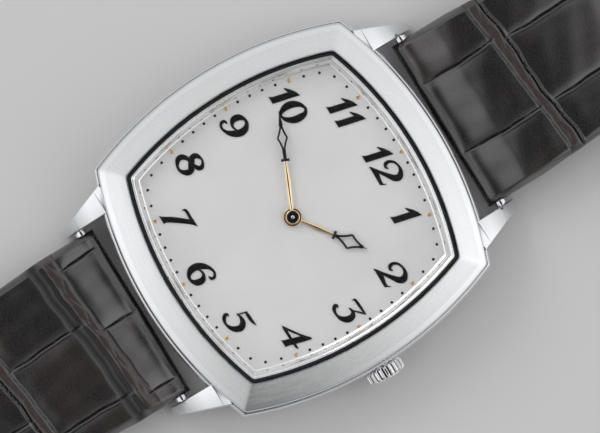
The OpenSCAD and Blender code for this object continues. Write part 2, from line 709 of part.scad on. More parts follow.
module case_back_gasket() {
    color([0.05, 0.05, 0.05]) ring(gasket_r1 - 0.05, gasket_r0 + 0.05, back_t - 0.3, back_t);
}

module case_back_screws() {
    color([0.7, 0.71, 0.73]) for (k = [0:back_screws - 1]) difference() {
        union() {
            rod(screw_place(k), back_screw_head_r, 0.05, 0.55);
            rod(screw_place(k), back_screw_r, 0.5, back_t + 2.2);
        }
        translate([screw_place(k)[0], screw_place(k)[1], 0])
            cube([2 * back_screw_head_r + 1, 0.22, 0.5], center = true);
    }
}

module crown_tube() {
    color([0.7, 0.71, 0.73]) difference() {
        x_rod(tube_r, cavity_r + 0.1, tube_end);
        x_rod(0.75, cavity_r, tube_end + 1);
    }
}

module stem_gasket() {
    color([0.08, 0.08, 0.08]) difference() {
        x_rod(0.74, tube_end - 1.6, tube_end - 1.1);
        x_rod(stem_r + run, tube_end - 2, tube_end);
    }
}

// Fluted prism cut to a turned profile with chamfers and a shallow dome
module crown() {
    edge = 0.22;
    dome = 0.25;
    profile = concat([[0, 0], [crown_r - edge, 0], [crown_r, edge], [crown_r, crown_len - edge]],
        [for (k = [0:4]) [(crown_r - edge) * cos(22.5 * k), crown_len + dome * sin(22.5 * k)]]);
    color([0.83, 0.84, 0.86]) difference() {
        translate([crown_x, 0, z_stem]) rotate([0, 90, 0]) intersection() {
            linear_extrude(height = crown_len + 1) difference() {
                circle(r = crown_r + 0.1);
                for (k = [0:flutes - 1]) rotate(360 / flutes * k)
                    translate([crown_r + 0.08, 0]) circle(r = 0.25, $fn = 20);
            }
            rotate_extrude() polygon(profile);
        }
        x_rod(tube_r + 0.1, crown_x - 1, tube_end + 0.1);
        x_rod(stem_r, crown_x, tube_end + 0.5);
    }
}

// Pilot, square, pinion seat, lever groove and the threaded end in the crown
module winding_stem() {
    color([0.6, 0.61, 0.64]) {
        x_rod(0.22, sliding_x - 3.1, sliding_x - 1.2);
        translate([sliding_x - 1.2, -square_w / 2, z_stem - square_w / 2])
            cube([pinion_x - 0.42 - sliding_x + 1.2, square_w, square_w]);
        x_rod(stem_r, pinion_x - 0.42, groove_x);
        x_rod(0.18, groove_x, groove_x + groove_w);
        x_rod(stem_r, groove_x + groove_w, tube_end + 0.5);
    }
}

module winding_pinion() {
    color([0.62, 0.6, 0.56]) difference() {
        translate([pinion_x - pinion_len / 2, 0, z_stem]) rotate([0, 90, 0])
            linear_extrude(height = pinion_len) gear(pinion_teeth, winding_module, 0);
        x_rod(stem_r + run, pinion_x - 2, pinion_x + 2);
    }
}

module sliding_pinion() {
    color([0.62, 0.6, 0.56]) difference() {
        x_rod(sliding_r, sliding_x, sliding_x + sliding_len);
        translate([sliding_x - 1, -square_w / 2 - 0.02, z_stem - square_w / 2 - 0.02])
            cube([sliding_len + 2, square_w + 0.04, square_w + 0.04]);
        difference() {
            x_rod(2, yoke_tip[0] - groove_w / 2, yoke_tip[0] + groove_w / 2);
            x_rod(sliding_r - 0.22, sliding_x, sliding_x + sliding_len);
        }
    }
}

module setting_lever() {
    z0 = z_plate - 0.3;
    color([0.7, 0.71, 0.73]) difference() {
        union() {
            rod(lever_at, lever_boss_r, z0, z0 + 0.25);
            translate([lever_at[0], lever_at[1], z0]) rotate([0, 0, heading(lever_at, lever_pin)])
                translate([0, -0.22, 0]) cube([lever_r + 0.1, 0.44, 0.25]);
            rod(lever_pin, 0.14, z_stem - 0.4, z0 + 0.1);
        }
        rod(lever_at, post_pin_r + run, z0 - 1, z0 + 1);
    }
}

post_pin_r = 0.3;
module yoke() {
    z0 = z_stem - 0.12;
    tip_angle = heading(yoke_at, yoke_tip);
    color([0.7, 0.71, 0.73]) difference() {
        translate([yoke_at[0], yoke_at[1], z0]) linear_extrude(height = 0.25) {
            circle(r = 0.7);
            rotate(tip_angle) translate([0, -0.3]) square([yoke_r - 0.65, 0.6]);
            rotate(tip_angle) translate([0, -0.1]) square([yoke_r + 0.12, 0.2]);
        }
        rod(yoke_at, post_pin_r + run, z0 - 1, z0 + 1);
    }
}

// Wheel centres that turn in mainplate jewels
plate_pivots = [third_at, fourth_at, escape_at, fork_at, balance_at];

module mainplate() {
    z_lever = z_plate - 0.3;
    color([0.8, 0.76, 0.62]) difference() {
        union() {
            rod([0, 0], move_r, z_plate, z_motion);
            difference() {
                ring(move_r, move_r - rim_w, z_train, z_plate + 0.1);
                rod(lever_at, lever_boss_r + 0.2, z_lever - 0.1, z_plate);
            }
            for (p = concat(barrel_posts, train_posts)) rod(p, post_r, z_train, z_plate + 0.1);
            rod(cock_foot, 1.3, z_train, z_plate + 0.1);
            rod(pallet_foot, 0.6, z_train + 0.5, z_plate + 0.1);
            rod(lever_at, post_pin_r, z_lever - 0.05, z_plate + 0.1);
            rod(yoke_at, post_pin_r, z_stem - 0.2, z_plate + 0.1);
            rod(minute_wheel_at, post_pin_r, z_motion - 0.1, z_dial - 0.03);
            translate([sliding_x - 2.6, -0.8, z_stem - 0.5]) cube([0.8, 1.25, z_plate - z_stem + 0.6]);
        }
        rod([0, 0], arbor_r + 0.15, z_plate - 1, z_motion + 1);
        for (p = plate_pivots) rod(p, jewel_r, z_plate - 1, z_motion + 1);
        rod(barrel_at, 0.5 + run, z_plate - 1, z_motion + 1);
        for (p = concat(barrel_posts, train_posts, [cock_foot])) rod(p, screw_r, z_train - 1, z_plate + 0.4);
        rod(pallet_foot, screw_r, z_train - 1, z_plate + 0.4);
        x_rod(stem_r + run, groove_x + 1, move_r + 1);
        x_rod(0.25, sliding_x - 3, sliding_x - 1);
        translate([sliding_x - sliding_travel - 0.1, -1.25, z_plate - 1])
            cube([pinion_x + 0.7 - sliding_x + sliding_travel, 2.5, 1.35]);
    }
}

module barrel() {
    wall = 0.25;
    drum_r = pitch_r(barrel_teeth, barrel_module) - 1.15 * barrel_module - 0.15;
    color([0.82, 0.7, 0.45]) difference() {
        union() {
            rod(barrel_at, drum_r, z_train + 0.05, z_plate - 0.35);
            disc(barrel_at, barrel_teeth, barrel_module, z_plate - 0.65, 0.3, 0, 0);
        }
        rod(barrel_at, drum_r - wall, z_train + 0.2, z_plate - 0.5);
        rod(barrel_at, 0.6 + run, z_train, z_plate);
    }
}

module mainspring() {
    color([0.55, 0.57, 0.62]) translate([barrel_at[0], barrel_at[1], z_train + 0.25])
        linear_extrude(height = 0.6) spiral(1.3, 4.1, 7, 0.12, 20);
}

module barrel_arbor() {
    color([0.6, 0.61, 0.64]) difference() {
        union() {
            rod(barrel_at, 0.9, z_winding - 0.12, z_winding);
            rod(barrel_at, 0.5, z_winding - 0.05, z_plate + 0.5);
            rod(barrel_at, 0.6, z_pocket, z_plate - 0.05);
            rod(barrel_at, 1, z_train + 0.25, z_plate - 0.55);
        }
        translate([barrel_at[0], barrel_at[1], z_winding - 0.12]) cube([3, 0.25, 0.14], center = true);
    }
}

// The split between the two bridges, as a band that runs past the centre
split_slope = -0.5;
left_slope = -0.25;
split_up = 0.2;
split_w = 0.3;
module bridge_blank(r) {
    translate([0, 0, z_bridge]) cylinder(h = bridge_t, r = r);
}

module upper_side() {
    translate([0, 0, z_bridge - 1]) linear_extrude(height = bridge_t + 2)
        polygon([[-move_r, split_up - move_r * left_slope], [0, split_up],
            [move_r, split_up + move_r * split_slope], [move_r, 2 * move_r], [-move_r, 2 * move_r]]);
}

bridge_r = move_r - 0.2;
balance_window = balance_r + 0.5;
hub_plate_r = 2;
module barrel_bridge() {
    color([0.78, 0.79, 0.82]) difference() {
        intersection() {
            bridge_blank(bridge_r);
            upper_side();
        }
        rod([0, 0], hub_plate_r + split_w, z_bridge - 1, z_train + 1);
        rod(balance_at, balance_window, z_bridge - 1, z_train + 1);
        rod(barrel_at, ratchet_pitch + winding_module + 0.15, z_bridge - 1, z_pocket);
        rod(barrel_at, 0.6 + run, z_bridge - 1, z_train + 1);
        difference() {
            rod(crown_at, crown_pitch + winding_module + 0.15, z_bridge - 1, z_pocket);
            rod(crown_at, 0.9, z_bridge, z_pocket + 1);
        }
        rod(click_at, 2.36, z_bridge - 1, z_pocket);
        rod(auto_at, 1.15, z_bridge - 1, z_pocket);
        rod(auto_at, 0.3 + run, z_bridge - 1, z_train + 1);
        translate([pinion_x - pinion_len / 2 - 0.1, -1.25, z_bridge - 1]) cube([pinion_len + 0.2, 2.5, 4]);
        translate([sliding_x - sliding_travel - 0.1, -sliding_r - 0.13, z_pocket])
            cube([pinion_x - sliding_x + sliding_travel, 2 * sliding_r + 0.26, 2]);
        for (p = barrel_posts) bridge_screw_hole(p);
    }
    color([0.78, 0.79, 0.82]) rod(click_at, post_pin_r, z_bridge + 0.05, z_pocket + 0.1);
}

module bridge_screw_hole(p) {
    rod(p, screw_head_r + 0.02, z_bridge - 1, z_bridge + 0.22);
    rod(p, screw_r + 0.02, z_bridge - 1, z_train + 1);
}

module train_bridge() {
    color([0.78, 0.79, 0.82]) difference() {
        union() {
            difference() {
                bridge_blank(bridge_r);
                translate([0, -split_w, 0]) upper_side();
                translate([0, 0, z_bridge - 1]) linear_extrude(height = bridge_t + 2)
                    polygon([[-20, 9], [-3.3, 9], [-3.9, -0.8], [-6.9, -2.6], [-8.4, -6.3],
                        [-9.6, -20], [-20, -20]]);
            }
            bridge_blank(hub_plate_r);
        }
        rod(balance_at, balance_window, z_bridge - 1, z_train + 1);
        rod(barrel_at, ratchet_pitch + winding_module + 0.15, z_bridge - 1, z_pocket);
        for (p = [third_at, fourth_at, escape_at]) rod(p, jewel_r, z_bridge - 1, z_train + 1);
        rod([0, 0], 0.25 + run, z_train - 0.3, z_train + 1);
        for (p = train_posts) bridge_screw_hole(p);
    }
}

module balance_cock() {
    a = heading(cock_foot, balance_at);
    color([0.78, 0.79, 0.82]) difference() {
        union() {
            translate([cock_foot[0], cock_foot[1], z_bridge]) linear_extrude(height = bridge_t) {
                circle(r = 1.5);
                rotate(a) translate([0, -0.95]) square([norm(balance_at - cock_foot), 1.9]);
            }
            rod(balance_at, 1.3, z_bridge, z_train);
            translate([balance_at[0], balance_at[1] - 0.3, z_bridge]) cube([hairspring_r + 0.3, 0.6, bridge_t]);
            rod(hairspring_stud, 0.25, z_train - 0.1, z_train + 0.02);
        }
        rod(balance_at, jewel_r, z_bridge - 1, z_train + 1);
        bridge_screw_hole(cock_foot);
    }
}

module pallet_bridge() {
    z0 = z_train + 0.1;
    color([0.78, 0.79, 0.82]) difference() {
        translate([0, 0, z0]) linear_extrude(height = 0.4) {
            translate(fork_at) circle(r = jewel_r + 0.2);
            translate(pallet_foot) circle(r = 0.8);
            translate(pallet_foot) rotate(heading(pallet_foot, fork_at)) translate([0, -0.55])
                square([2.3, 1.1]);
        }
        rod(fork_at, jewel_r, z0 - 1, z_plate);
        rod(balance_at, balance_r + 0.17, z0 - 1, z_plate);
        rod(pallet_foot, screw_r + 0.02, z0 - 1, z_plate);
    }
}

module jewels() {
    color([0.75, 0.1, 0.25]) {
        for (p = [third_at, fourth_at, escape_at, balance_at])
            translate([p[0], p[1], 0]) ring(jewel_r, pivot_r + run, z_bridge + 0.05, z_bridge + 0.35, $fn = 48);
        translate([fork_at[0], fork_at[1], 0])
            ring(jewel_r, pivot_r + run, z_train + 0.2, z_train + 0.5, $fn = 48);
        for (p = plate_pivots)
            translate([p[0], p[1], 0]) ring(jewel_r, pivot_r + run, z_plate + 0.05, z_plate + 0.35, $fn = 48);
    }
}

module slotted_screw(p, z0, z1, angle) {
    difference() {
        union() {
            rod(p, screw_head_r, z0, z0 + 0.2, $fn = 48);
            rod(p, screw_r, z0 + 0.1, z1, $fn = 48);
        }
        translate([p[0], p[1], z0]) rotate([0, 0, angle]) cube([3, 0.16, 0.16], center = true);
    }
}

module bridge_screws() {
    color([0.3, 0.34, 0.55]) {
        for (p = concat(barrel_posts, train_posts, [cock_foot]))
            slotted_screw(p, z_bridge + 0.02, z_plate + 0.3, 40 * p[0]);
        slotted_screw(pallet_foot, z_train - 0.1, z_plate + 0.3, 30);
    }
}

module ratchet_wheel() {
    color([0.74, 0.75, 0.78])
        disc(barrel_at, ratchet_teeth, winding_module, z_winding, winding_t, ratchet_turn, 0.5);
}

module click() {
    tip = barrel_at + polar(ratchet_pitch + winding_module + 0.12, 78);
    color([0.7, 0.71, 0.73]) difference() {
        translate([0, 0, z_winding]) linear_extrude(height = winding_t) {
            translate(click_at) circle(r = 0.65);
            translate(click_at) rotate(heading(click_at, tip)) translate([0, 0.05])
                polygon([[0, -0.3], [norm(tip - click_at), -0.05], [norm(tip - click_at), 0.3], [0, 0.5]]);
        }
        rod(click_at, post_pin_r + run, z_bridge - 1, z_train);
    }
}

module crown_wheel() {
    color([0.74, 0.75, 0.78])
        disc(crown_at, crown_teeth, winding_module, z_winding, winding_t, crown_turn, 0.9 + run);
}

// Arbor, pinion and wheel in one, carrying the cannon pinion on its long upper end
module centre_wheel() {
    color([0.82, 0.7, 0.45]) {
        rod([0, 0], 0.25, z_train - 0.25, z_train + 0.1);
        rod([0, 0], arbor_r, z_train + 0.03, z_minute_hand);
        rod([0, 0], 0.2, z_minute_hand - 0.1, z_minute_hand + 0.3, $fn = 48);
        disc([0, 0], centre_leaves, barrel_module, z_plate - 0.7, 0.5, centre_pinion_turn, 0);
        spoked_disc([0, 0], centre_teeth, centre_module, z_train + centre_up, 1.1, 5);
    }
}

module third_wheel() {
    color([0.82, 0.7, 0.45]) {
        arbor(third_at, 0.25);
        disc(third_at, train_leaves, centre_module, z_train + centre_up - 0.25, 0.48, third_pinion_turn, 0);
        spoked_disc(third_at, third_teeth, third_module, z_train + third_up, 0.8, 5);
    }
}

module fourth_wheel() {
    color([0.82, 0.7, 0.45]) {
        arbor(fourth_at, 0.22);
        disc(fourth_at, train_leaves, third_module, z_train + fourth_up + 0.2, 0.5, fourth_pinion_turn, 0);
        spoked_disc(fourth_at, fourth_teeth, fourth_module, z_train + fourth_up, 0.7, 4);
    }
}

module escape_wheel() {
    step = 360 / escape_teeth;
    teeth = [for (k = [0:escape_teeth - 1], c = [0:3])
        polar(escape_r - [0.5, 0, 0.04, 0.45][c], (k + [0.1, 0.44, 0.58, 0.62][c]) * step)];
    color([0.8, 0.8, 0.78]) {
        arbor(escape_at, 0.18);
        disc(escape_at, escape_leaves, fourth_module, z_train + 0.05, 0.4, escape_pinion_turn, 0);
        translate([escape_at[0], escape_at[1], z_train + escape_up]) linear_extrude(height = wheel_t)
            difference() {
                polygon(teeth);
                difference() {
                    circle(r = escape_r - 0.8);
                    circle(r = 0.5);
                    for (k = [0:3]) rotate(90 * k + 20) translate([0, -0.12]) square([escape_r - 0.6, 0.24]);
                }
            }
    }
}

// Lever with two pallet stones that straddle the escape wheel and a notch for the impulse pin
module pallet_fork() {
    z0 = z_train + escape_up;
    stone_r = escape_r + 0.12;
    stone_turn = 32;
    stone_x = stone_r * cos(stone_turn) - fork_back;
    stone_y = stone_r * sin(stone_turn);
    color([0.74, 0.75, 0.78]) {
        rod(fork_at, 0.18, z_train + 0.53, z_plate - 0.03);
        rod(fork_at, pivot_r, z_train + 0.25, z_plate + 0.35);
        translate([fork_at[0], fork_at[1], z0]) rotate([0, 0, escapement_angle])
            linear_extrude(height = wheel_t) {
                circle(r = 0.45);
                difference() {
                    polygon([[0, -0.3], [2.7, -0.12], [3.1, -0.45], [3.55, -0.4],
                        [3.55, 0.4], [3.1, 0.45], [2.7, 0.12], [0, 0.3]]);
                    translate([3.15, -0.13]) square([1, 0.26]);
                }
                for (k = [-1, 1]) polygon([[0.3, 0], [-0.2, k * 0.15],
                    [stone_x + 0.5, k * (stone_y + 0.35)], [stone_x + 0.9, k * (stone_y + 0.25)]]);
                for (k = [-1, 1]) translate([-fork_back, 0]) rotate(k * stone_turn)
                    translate([stone_r, -0.14]) square([0.55, 0.28]);
            }
    }
}

module balance_wheel() {
    rim_w = 0.38;
    z0 = z_train + balance_up;
    color([0.83, 0.71, 0.45]) {
        arbor(balance_at, 0.2);
        translate([balance_at[0], balance_at[1], 0]) {
            ring(balance_r, balance_r - rim_w, z0, z0 + 0.35);
            rod([0, 0], 0.5, z0, z0 + 0.35);
            translate([0, 0, z0 + 0.1]) for (k = [0:3]) rotate([0, 0, 90 * k + 35])
                translate([0.3, -0.18, 0]) cube([balance_r - 0.5, 0.36, 0.14]);
            rod([0, 0], 0.9, z0 + 0.4, z0 + 0.5);
            for (k = [0:7]) rotate([0, 0, 45 * k + 12]) translate([balance_r - 0.1, 0, z0 + 0.17])
                rotate([0, 90, 0]) cylinder(h = 0.22, r = 0.13, $fn = 24);
        }
        rod(balance_at - polar(0.7, escapement_angle), 0.1, z0 + 0.45, z_train + escape_up - 0.02, $fn = 24);
    }
}

hairspring_r = 2.6;
hairspring_turns = 9;
hairspring_stud = balance_at + [hairspring_r, 0];
module hairspring() {
    color([0.35, 0.42, 0.6]) translate([balance_at[0], balance_at[1], z_train + 0.02])
        linear_extrude(height = 0.12) spiral(0.6, hairspring_r, hairspring_turns, 0.05, 20);
}

// Tube with leaves under the dial; the minute hand sits on its upper end
module cannon_pinion() {
    color([0.1, 0.1, 0.11]) difference() {
        union() {
            rod([0, 0], cannon_r, z_motion + 0.03, z_minute_hand + hand_t + 0.06);
            disc([0, 0], cannon_teeth, motion_module, z_motion + 0.03, 0.16, 0, 0);
        }
        rod([0, 0], arbor_r + run, z_motion - 1, z_minute_hand + run);
        rod([0, 0], 0.2 + run, z_motion, z_minute_hand + 1, $fn = 48);
    }
}

module minute_wheel() {
    color([0.82, 0.7, 0.45]) difference() {
        union() {
            translate([minute_wheel_at[0], minute_wheel_at[1], z_motion + 0.03]) rotate([0, 0, minute_turn])
                linear_extrude(height = 0.13) gear(minute_teeth, motion_module, 0);
            disc(minute_wheel_at, minute_leaves, hour_module, z_motion + 0.1, 0.26, 0, 0);
        }
        rod(minute_wheel_at, post_pin_r + run, z_motion - 1, z_dial);
    }
}

module hour_wheel() {
    color([0.82, 0.7, 0.45]) difference() {
        union() {
            disc([0, 0], hour_teeth, hour_module, z_dial - 0.17, 0.14, hour_turn, 0);
            rod([0, 0], hour_tube_r, z_dial - 0.17, z_hour_hand + hand_t);
        }
        rod([0, 0], cannon_r + run, z_motion, z_hour_hand + 1);
    }
}

// Half-moon oscillating weight: heavy rim, thin web and a hub with its pinion
module rotor() {
    rotor_r = move_r - 0.6;
    rim_in = rotor_r - 2.7;
    z0 = back_t + 0.15;
    ball_race_r = 1.35;
    color([0.84, 0.66, 0.36]) difference() {
        union() {
            intersection() {
                union() {
                    ring(rotor_r, rim_in, z0, z_bridge - 0.2);
                    ring(rotor_r, 1.5, z_bridge - 0.55, z_bridge - 0.35);
                }
                translate([-rotor_r, 0.6 - rotor_r, 0]) cube([2 * rotor_r, rotor_r, z_train]);
            }
            rod([0, 0], 1.95, z0 + 0.15, z_bridge - 0.35);
            disc([0, 0], rotor_leaves, winding_module, z_bridge - 0.36, 0.26, 0, 0);
        }
        rod([0, 0], ball_race_r, 0, z_train);
        for (a = [-150, -110, -70, -30]) rotate([0, 0, a]) rod([rotor_r / 2 - 0.4, 0], 1.7, 0, z_train);
    }
}

// Fixed inner race with its screw head, and the balls the rotor runs on
module rotor_bearing() {
    ball_r = 0.19;
    color([0.6, 0.61, 0.64]) {
        difference() {
            union() {
                rod([0, 0], 0.9, back_t + 0.4, z_bridge);
                rod([0, 0], 1, back_t + 0.2, back_t + 0.4);
            }
            translate([0, 0, back_t + 0.2]) cube([3, 0.3, 0.2], center = true);
        }
        for (k = [0:6]) rotate([0, 0, 360 / 7 * k]) translate([(0.9 + 1.35) / 2, 0, z_bridge - 0.55])
            sphere(r = ball_r, $fn = 24);
    }
}

module winding_wheel() {
    color([0.82, 0.7, 0.45]) {
        translate([auto_at[0], auto_at[1], z_auto]) rotate([0, 0, auto_wheel_turn])
            linear_extrude(height = wheel_t) spoked_gear(auto_teeth, winding_module, 1.2, 4);
        disc(auto_at, auto_leaves, winding_module, z_auto + 0.1, 0.5, 0, 0);
        rod(auto_at, 0.3, z_auto, z_train - 0.05);
    }
}

module spring_bars() {
    half = lug_gap / 2;
    color([0.75, 0.76, 0.78]) both_ends() translate([0, bar_y, bar_z]) rotate([0, 90, 0]) {
        translate([0, 0, 0.1 - half]) cylinder(h = 2 * half - 0.2, r = bar_r);
        translate([0, 0, -half - 0.5]) cylinder(h = 2 * half + 1, r = bar_tip_r);
    }
}

// Side profiles in (Y, Z): heights of the padded top and the underside along the strap
function strap_top(s) = s <= 0 ? bar_z + strap_eye_r : s >= 45 ? strap_t : s < 12
    ? bar_z + strap_eye_r + (pad_top - bar_z - strap_eye_r) * sin(90 * s / 12)
    : strap_t + (pad_top - strap_t) * (1 + cos(180 * (s - 12) / 33)) / 2;
function strap_low(s) = s >= 14 ? 0 : (bar_z - strap_eye_r) * (1 + cos(180 * s / 14)) / 2;
strap_steps = [0, 1.5, 3, 5, 8, 12, 16, 20, 25, 30, 35, 40, 45];

module strap_side(length, lift) {
    function up(s) = lift * (1 - cos(180 * min(s / 14, 1))) / 2;
    polygon(concat([for (s = strap_steps) [bar_y + s, strap_top(s) + up(s)]],
        [[bar_y + length, strap_t + lift], [bar_y + length, lift]],
        [for (i = [len(strap_steps) - 1:-1:0]) let (s = strap_steps[i]) [bar_y + s, strap_low(s) + up(s)]]));
}

module lining_side(length, lift, from) {
    function up(s) = lift * (1 - cos(180 * min(s / 14, 1))) / 2;
    steps = [for (s = strap_steps) if (s >= from) s];
    polygon(concat([for (s = steps) [bar_y + s, strap_low(s) + up(s) + lining_t]],
        [[bar_y + length, lift + lining_t], [bar_y + length, lift]],
        [for (i = [len(steps) - 1:-1:0]) let (s = steps[i]) [bar_y + s, strap_low(s) + up(s)]]));
}

module sideways(half) {
    translate([-half, 0, 0]) rotate([90, 0, 90]) linear_extrude(height = 2 * half) children();
}

module strap_plan(length) {
    polygon([[-strap_w / 2, bar_y - 3], [strap_w / 2, bar_y - 3], [strap_w / 2, bar_y + 6],
        [strap_end_w / 2, bar_y + taper_len], [strap_end_w / 2, bar_y + length],
        [-strap_end_w / 2, bar_y + length], [-strap_end_w / 2, bar_y + taper_len], [-strap_w / 2, bar_y + 6]]);
}

// A round rod across the strap, as its loop or as the bore through it
module cross_rod(y, z, r) {
    translate([0, y, z]) rotate([0, 90, 0]) cylinder(h = 2 * strap_w, r = r, center = true, $fn = 48);
}

lining_from = 5;
module strap_upper() {
    color([0.2, 0.17, 0.16]) difference() {
        intersection() {
            union() {
                sideways(strap_w) strap_side(upper_len, strap_lift);
                cross_rod(bar_y, bar_z, strap_eye_r - loop_inset);
                cross_rod(upper_end, buckle_z, strap_t / 2 - loop_inset);
            }
            linear_extrude(height = 20) strap_plan(upper_len + 2);
        }
        sideways(strap_w) lining_side(upper_len - 4, strap_lift, lining_from);
        cross_rod(bar_y, bar_z, bar_r + bar_room);
        cross_rod(upper_end, buckle_z, buckle_bar_r + bar_room);
        translate([-slot_w / 2, upper_end - 3.4, -1]) cube([slot_w, 6, 8]);
    }
}

module strap_upper_lining() {
    color([0.3, 0.24, 0.2]) intersection() {
        sideways(strap_w) lining_side(upper_len - 4, strap_lift, lining_from);
        linear_extrude(height = 20) strap_plan(upper_len);
    }
}

module lower_plan() {
    tip_r = 14;
    intersection() {
        strap_plan(lower_len);
        union() {
            translate([0, lower_end - tip_r]) circle(r = tip_r, $fn = 96);
            translate([-20, 0]) square([40, lower_end - tip_r]);
        }
    }
}

module strap_holes() {
    for (k = [0:hole_count - 1])
        rod([0, lower_end - hole_first - k * hole_step], hole_r, -1, 9, $fn = 48);
}

module strap_lower() {
    color([0.2, 0.17, 0.16]) mirror([0, 1, 0]) difference() {
        intersection() {
            union() {
                sideways(strap_w) strap_side(lower_len, 0);
                cross_rod(bar_y, bar_z, strap_eye_r - loop_inset);
            }
            linear_extrude(height = 20) lower_plan();
        }
        sideways(strap_w) lining_side(lower_len + 1, 0, lining_from);
        cross_rod(bar_y, bar_z, bar_r + bar_room);
        strap_holes();
    }
}

module strap_lower_lining() {
    color([0.3, 0.24, 0.2]) mirror([0, 1, 0]) difference() {
        intersection() {
            sideways(strap_w) lining_side(lower_len, 0, lining_from);
            linear_extrude(height = 20) lower_plan();
        }
        strap_holes();
    }
}

// A leather loop round the strap, from z0 up, clear of the strap by gap below it
module keeper(y, low_t) {
    inner_top = strap_lift + strap_t + keeper_room;
    half = keeper_in + keeper_t;
    color([0.2, 0.17, 0.16]) translate([0, y - keeper_w / 2, 0]) difference() {
        translate([-half, 0, 0]) cube([2 * half, keeper_w, inner_top + keeper_t]);
        translate([-keeper_in, -1, low_t]) cube([2 * keeper_in, keeper_w + 2, inner_top - low_t]);
        for (x = [-1, 1], z = [0, inner_top + keeper_t]) translate([x * half, -1, z])
            rotate([0, 45, 0]) cube([0.8, 2 * keeper_w + 4, 0.8], center = true);
    }
}

fixed_y = upper_end - 1.7 * keeper_w;
loose_y = fixed_y - 1.8 * keeper_w;
module fixed_keeper() {
    keeper(fixed_y, strap_lift);
}

module loose_keeper() {
    keeper(loose_y, strap_lift - 0.3);
}

// U-shaped frame whose front bar drops to the ground, with a groove for the tang
module buckle_frame() {
    inner = strap_end_w / 2 + 0.25;
    outer = inner + buckle_side;
    front = upper_end + buckle_len;
    color([0.86, 0.87, 0.88]) difference() {
        intersection() {
            sideways(outer) union() {
                translate([upper_end, buckle_z]) circle(r = buckle_eye_r, $fn = 48);
                polygon([[upper_end, buckle_z - buckle_eye_r], [front - 0.6, 0], [front, 0.5], [front, 1.9],
                    [front - 0.6, 2.4], [upper_end, buckle_z + buckle_eye_r]]);
            }
            linear_extrude(height = 9) polygon([[-outer, upper_end - 2], [outer, upper_end - 2],
                [outer, front - 2.2], [outer - 2.2, front], [2.2 - outer, front], [-outer, front - 2.2]]);
        }
        translate([-inner, upper_end - 3, -1]) cube([2 * inner, buckle_len + 0.8, 9]);
        translate([0, upper_end, buckle_z]) rotate([0, 90, 0])
            cylinder(h = 2 * (outer - 0.6), r = buckle_bar_r - 0.15, center = true);
        translate([-tang_w / 2 - 0.15, front - 3, 1.75]) cube([tang_w + 0.3, 6, 3]);
    }
}

module buckle_bar() {
    inner = strap_end_w / 2 + 0.25;
    color([0.75, 0.76, 0.78]) translate([0, upper_end, buckle_z]) rotate([0, 90, 0]) {
        cylinder(h = 2 * inner - 0.06, r = buckle_bar_r, center = true);
        cylinder(h = 2 * (inner + buckle_side - 0.65), r = buckle_bar_r - 0.16, center = true);
    }
}

module buckle_tang() {
    front = upper_end + buckle_len;
    color([0.86, 0.87, 0.88]) sideways(tang_w / 2) difference() {
        union() {
            translate([upper_end, buckle_z]) circle(r = 1.1, $fn = 48);
            polygon([[upper_end, buckle_z - 0.2], [front - 2.6, 1.8], [front + 0.5, 1.8], [front + 0.5, 2.3],
                [front - 2.6, 2.75], [upper_end, buckle_z + 1.1]]);
        }
        translate([upper_end, buckle_z]) circle(r = buckle_bar_r + run, $fn = 48);
    }
}

case_middle();
bezel();
crystal();
crystal_gasket();
flange_ring();
dial();
minute_dots();
hour_pips();
dial_numerals();
hour_hand();
minute_hand();
movement_ring();
case_back_ring();
case_back_crystal();
case_back_gasket();
case_back_screws();
crown_tube();
crown();
stem_gasket();
winding_stem();
mainplate();
barrel();
mainspring();
barrel_arbor();
barrel_bridge();
ratchet_wheel();
click();
crown_wheel();
centre_wheel();
cannon_pinion();
hour_wheel();
minute_wheel();
third_wheel();
fourth_wheel();
train_bridge();
escape_wheel();
pallet_fork();
pallet_bridge();
balance_wheel();
hairspring();
balance_cock();
jewels();
bridge_screws();
winding_pinion();
sliding_pinion();
setting_lever();
yoke();
rotor();
rotor_bearing();
winding_wheel();
spring_bars();
strap_upper();
strap_lower();
strap_upper_lining();
strap_lower_lining();
fixed_keeper();
loose_keeper();
buckle_frame();
buckle_tang();
buckle_bar();
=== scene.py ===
"""Automatic wristwatch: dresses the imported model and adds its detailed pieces.

Lengths in the classes are millimetres, with +Z up through the dial, +Y to 12 o'clock and +X to the crown.
"""

import logging
import math
from dataclasses import dataclass
from enum import Enum

import bmesh
import bpy
import numpy as np
from mathutils import Matrix, Vector


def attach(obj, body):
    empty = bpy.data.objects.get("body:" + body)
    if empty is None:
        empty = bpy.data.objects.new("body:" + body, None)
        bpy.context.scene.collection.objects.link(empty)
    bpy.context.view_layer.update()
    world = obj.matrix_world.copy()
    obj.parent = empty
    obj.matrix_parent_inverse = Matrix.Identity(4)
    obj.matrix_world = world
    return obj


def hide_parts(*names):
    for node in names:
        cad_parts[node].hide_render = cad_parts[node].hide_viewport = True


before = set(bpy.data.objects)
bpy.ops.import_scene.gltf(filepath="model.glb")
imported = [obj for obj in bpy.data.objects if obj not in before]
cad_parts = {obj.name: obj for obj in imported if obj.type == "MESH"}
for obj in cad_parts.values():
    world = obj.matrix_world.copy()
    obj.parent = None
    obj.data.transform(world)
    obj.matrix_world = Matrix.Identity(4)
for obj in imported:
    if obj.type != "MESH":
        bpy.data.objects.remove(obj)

Array = np.ndarray
Colour = tuple[float, float, float, float]
Piece = bpy.types.Object
Socket = bpy.types.NodeSocket
Sockets = bpy.types.NodeOutputs
MM = 0.001
# Spring bars: distance from the centre and height.
BAR_Y = 22.35
BAR_Z = 2.1
# Heights of the stem's axis, of the dial's face and of the buckle's bar.
STEM_Z = 3.575
FACE_Z = 6.0
BUCKLE_Z = 2.125
# Distance in metres below which two points are one, and length below which an edge is none.
SAME_POINT = 1e-6
NO_EDGE = 1e-8
log = logging.getLogger("watch")


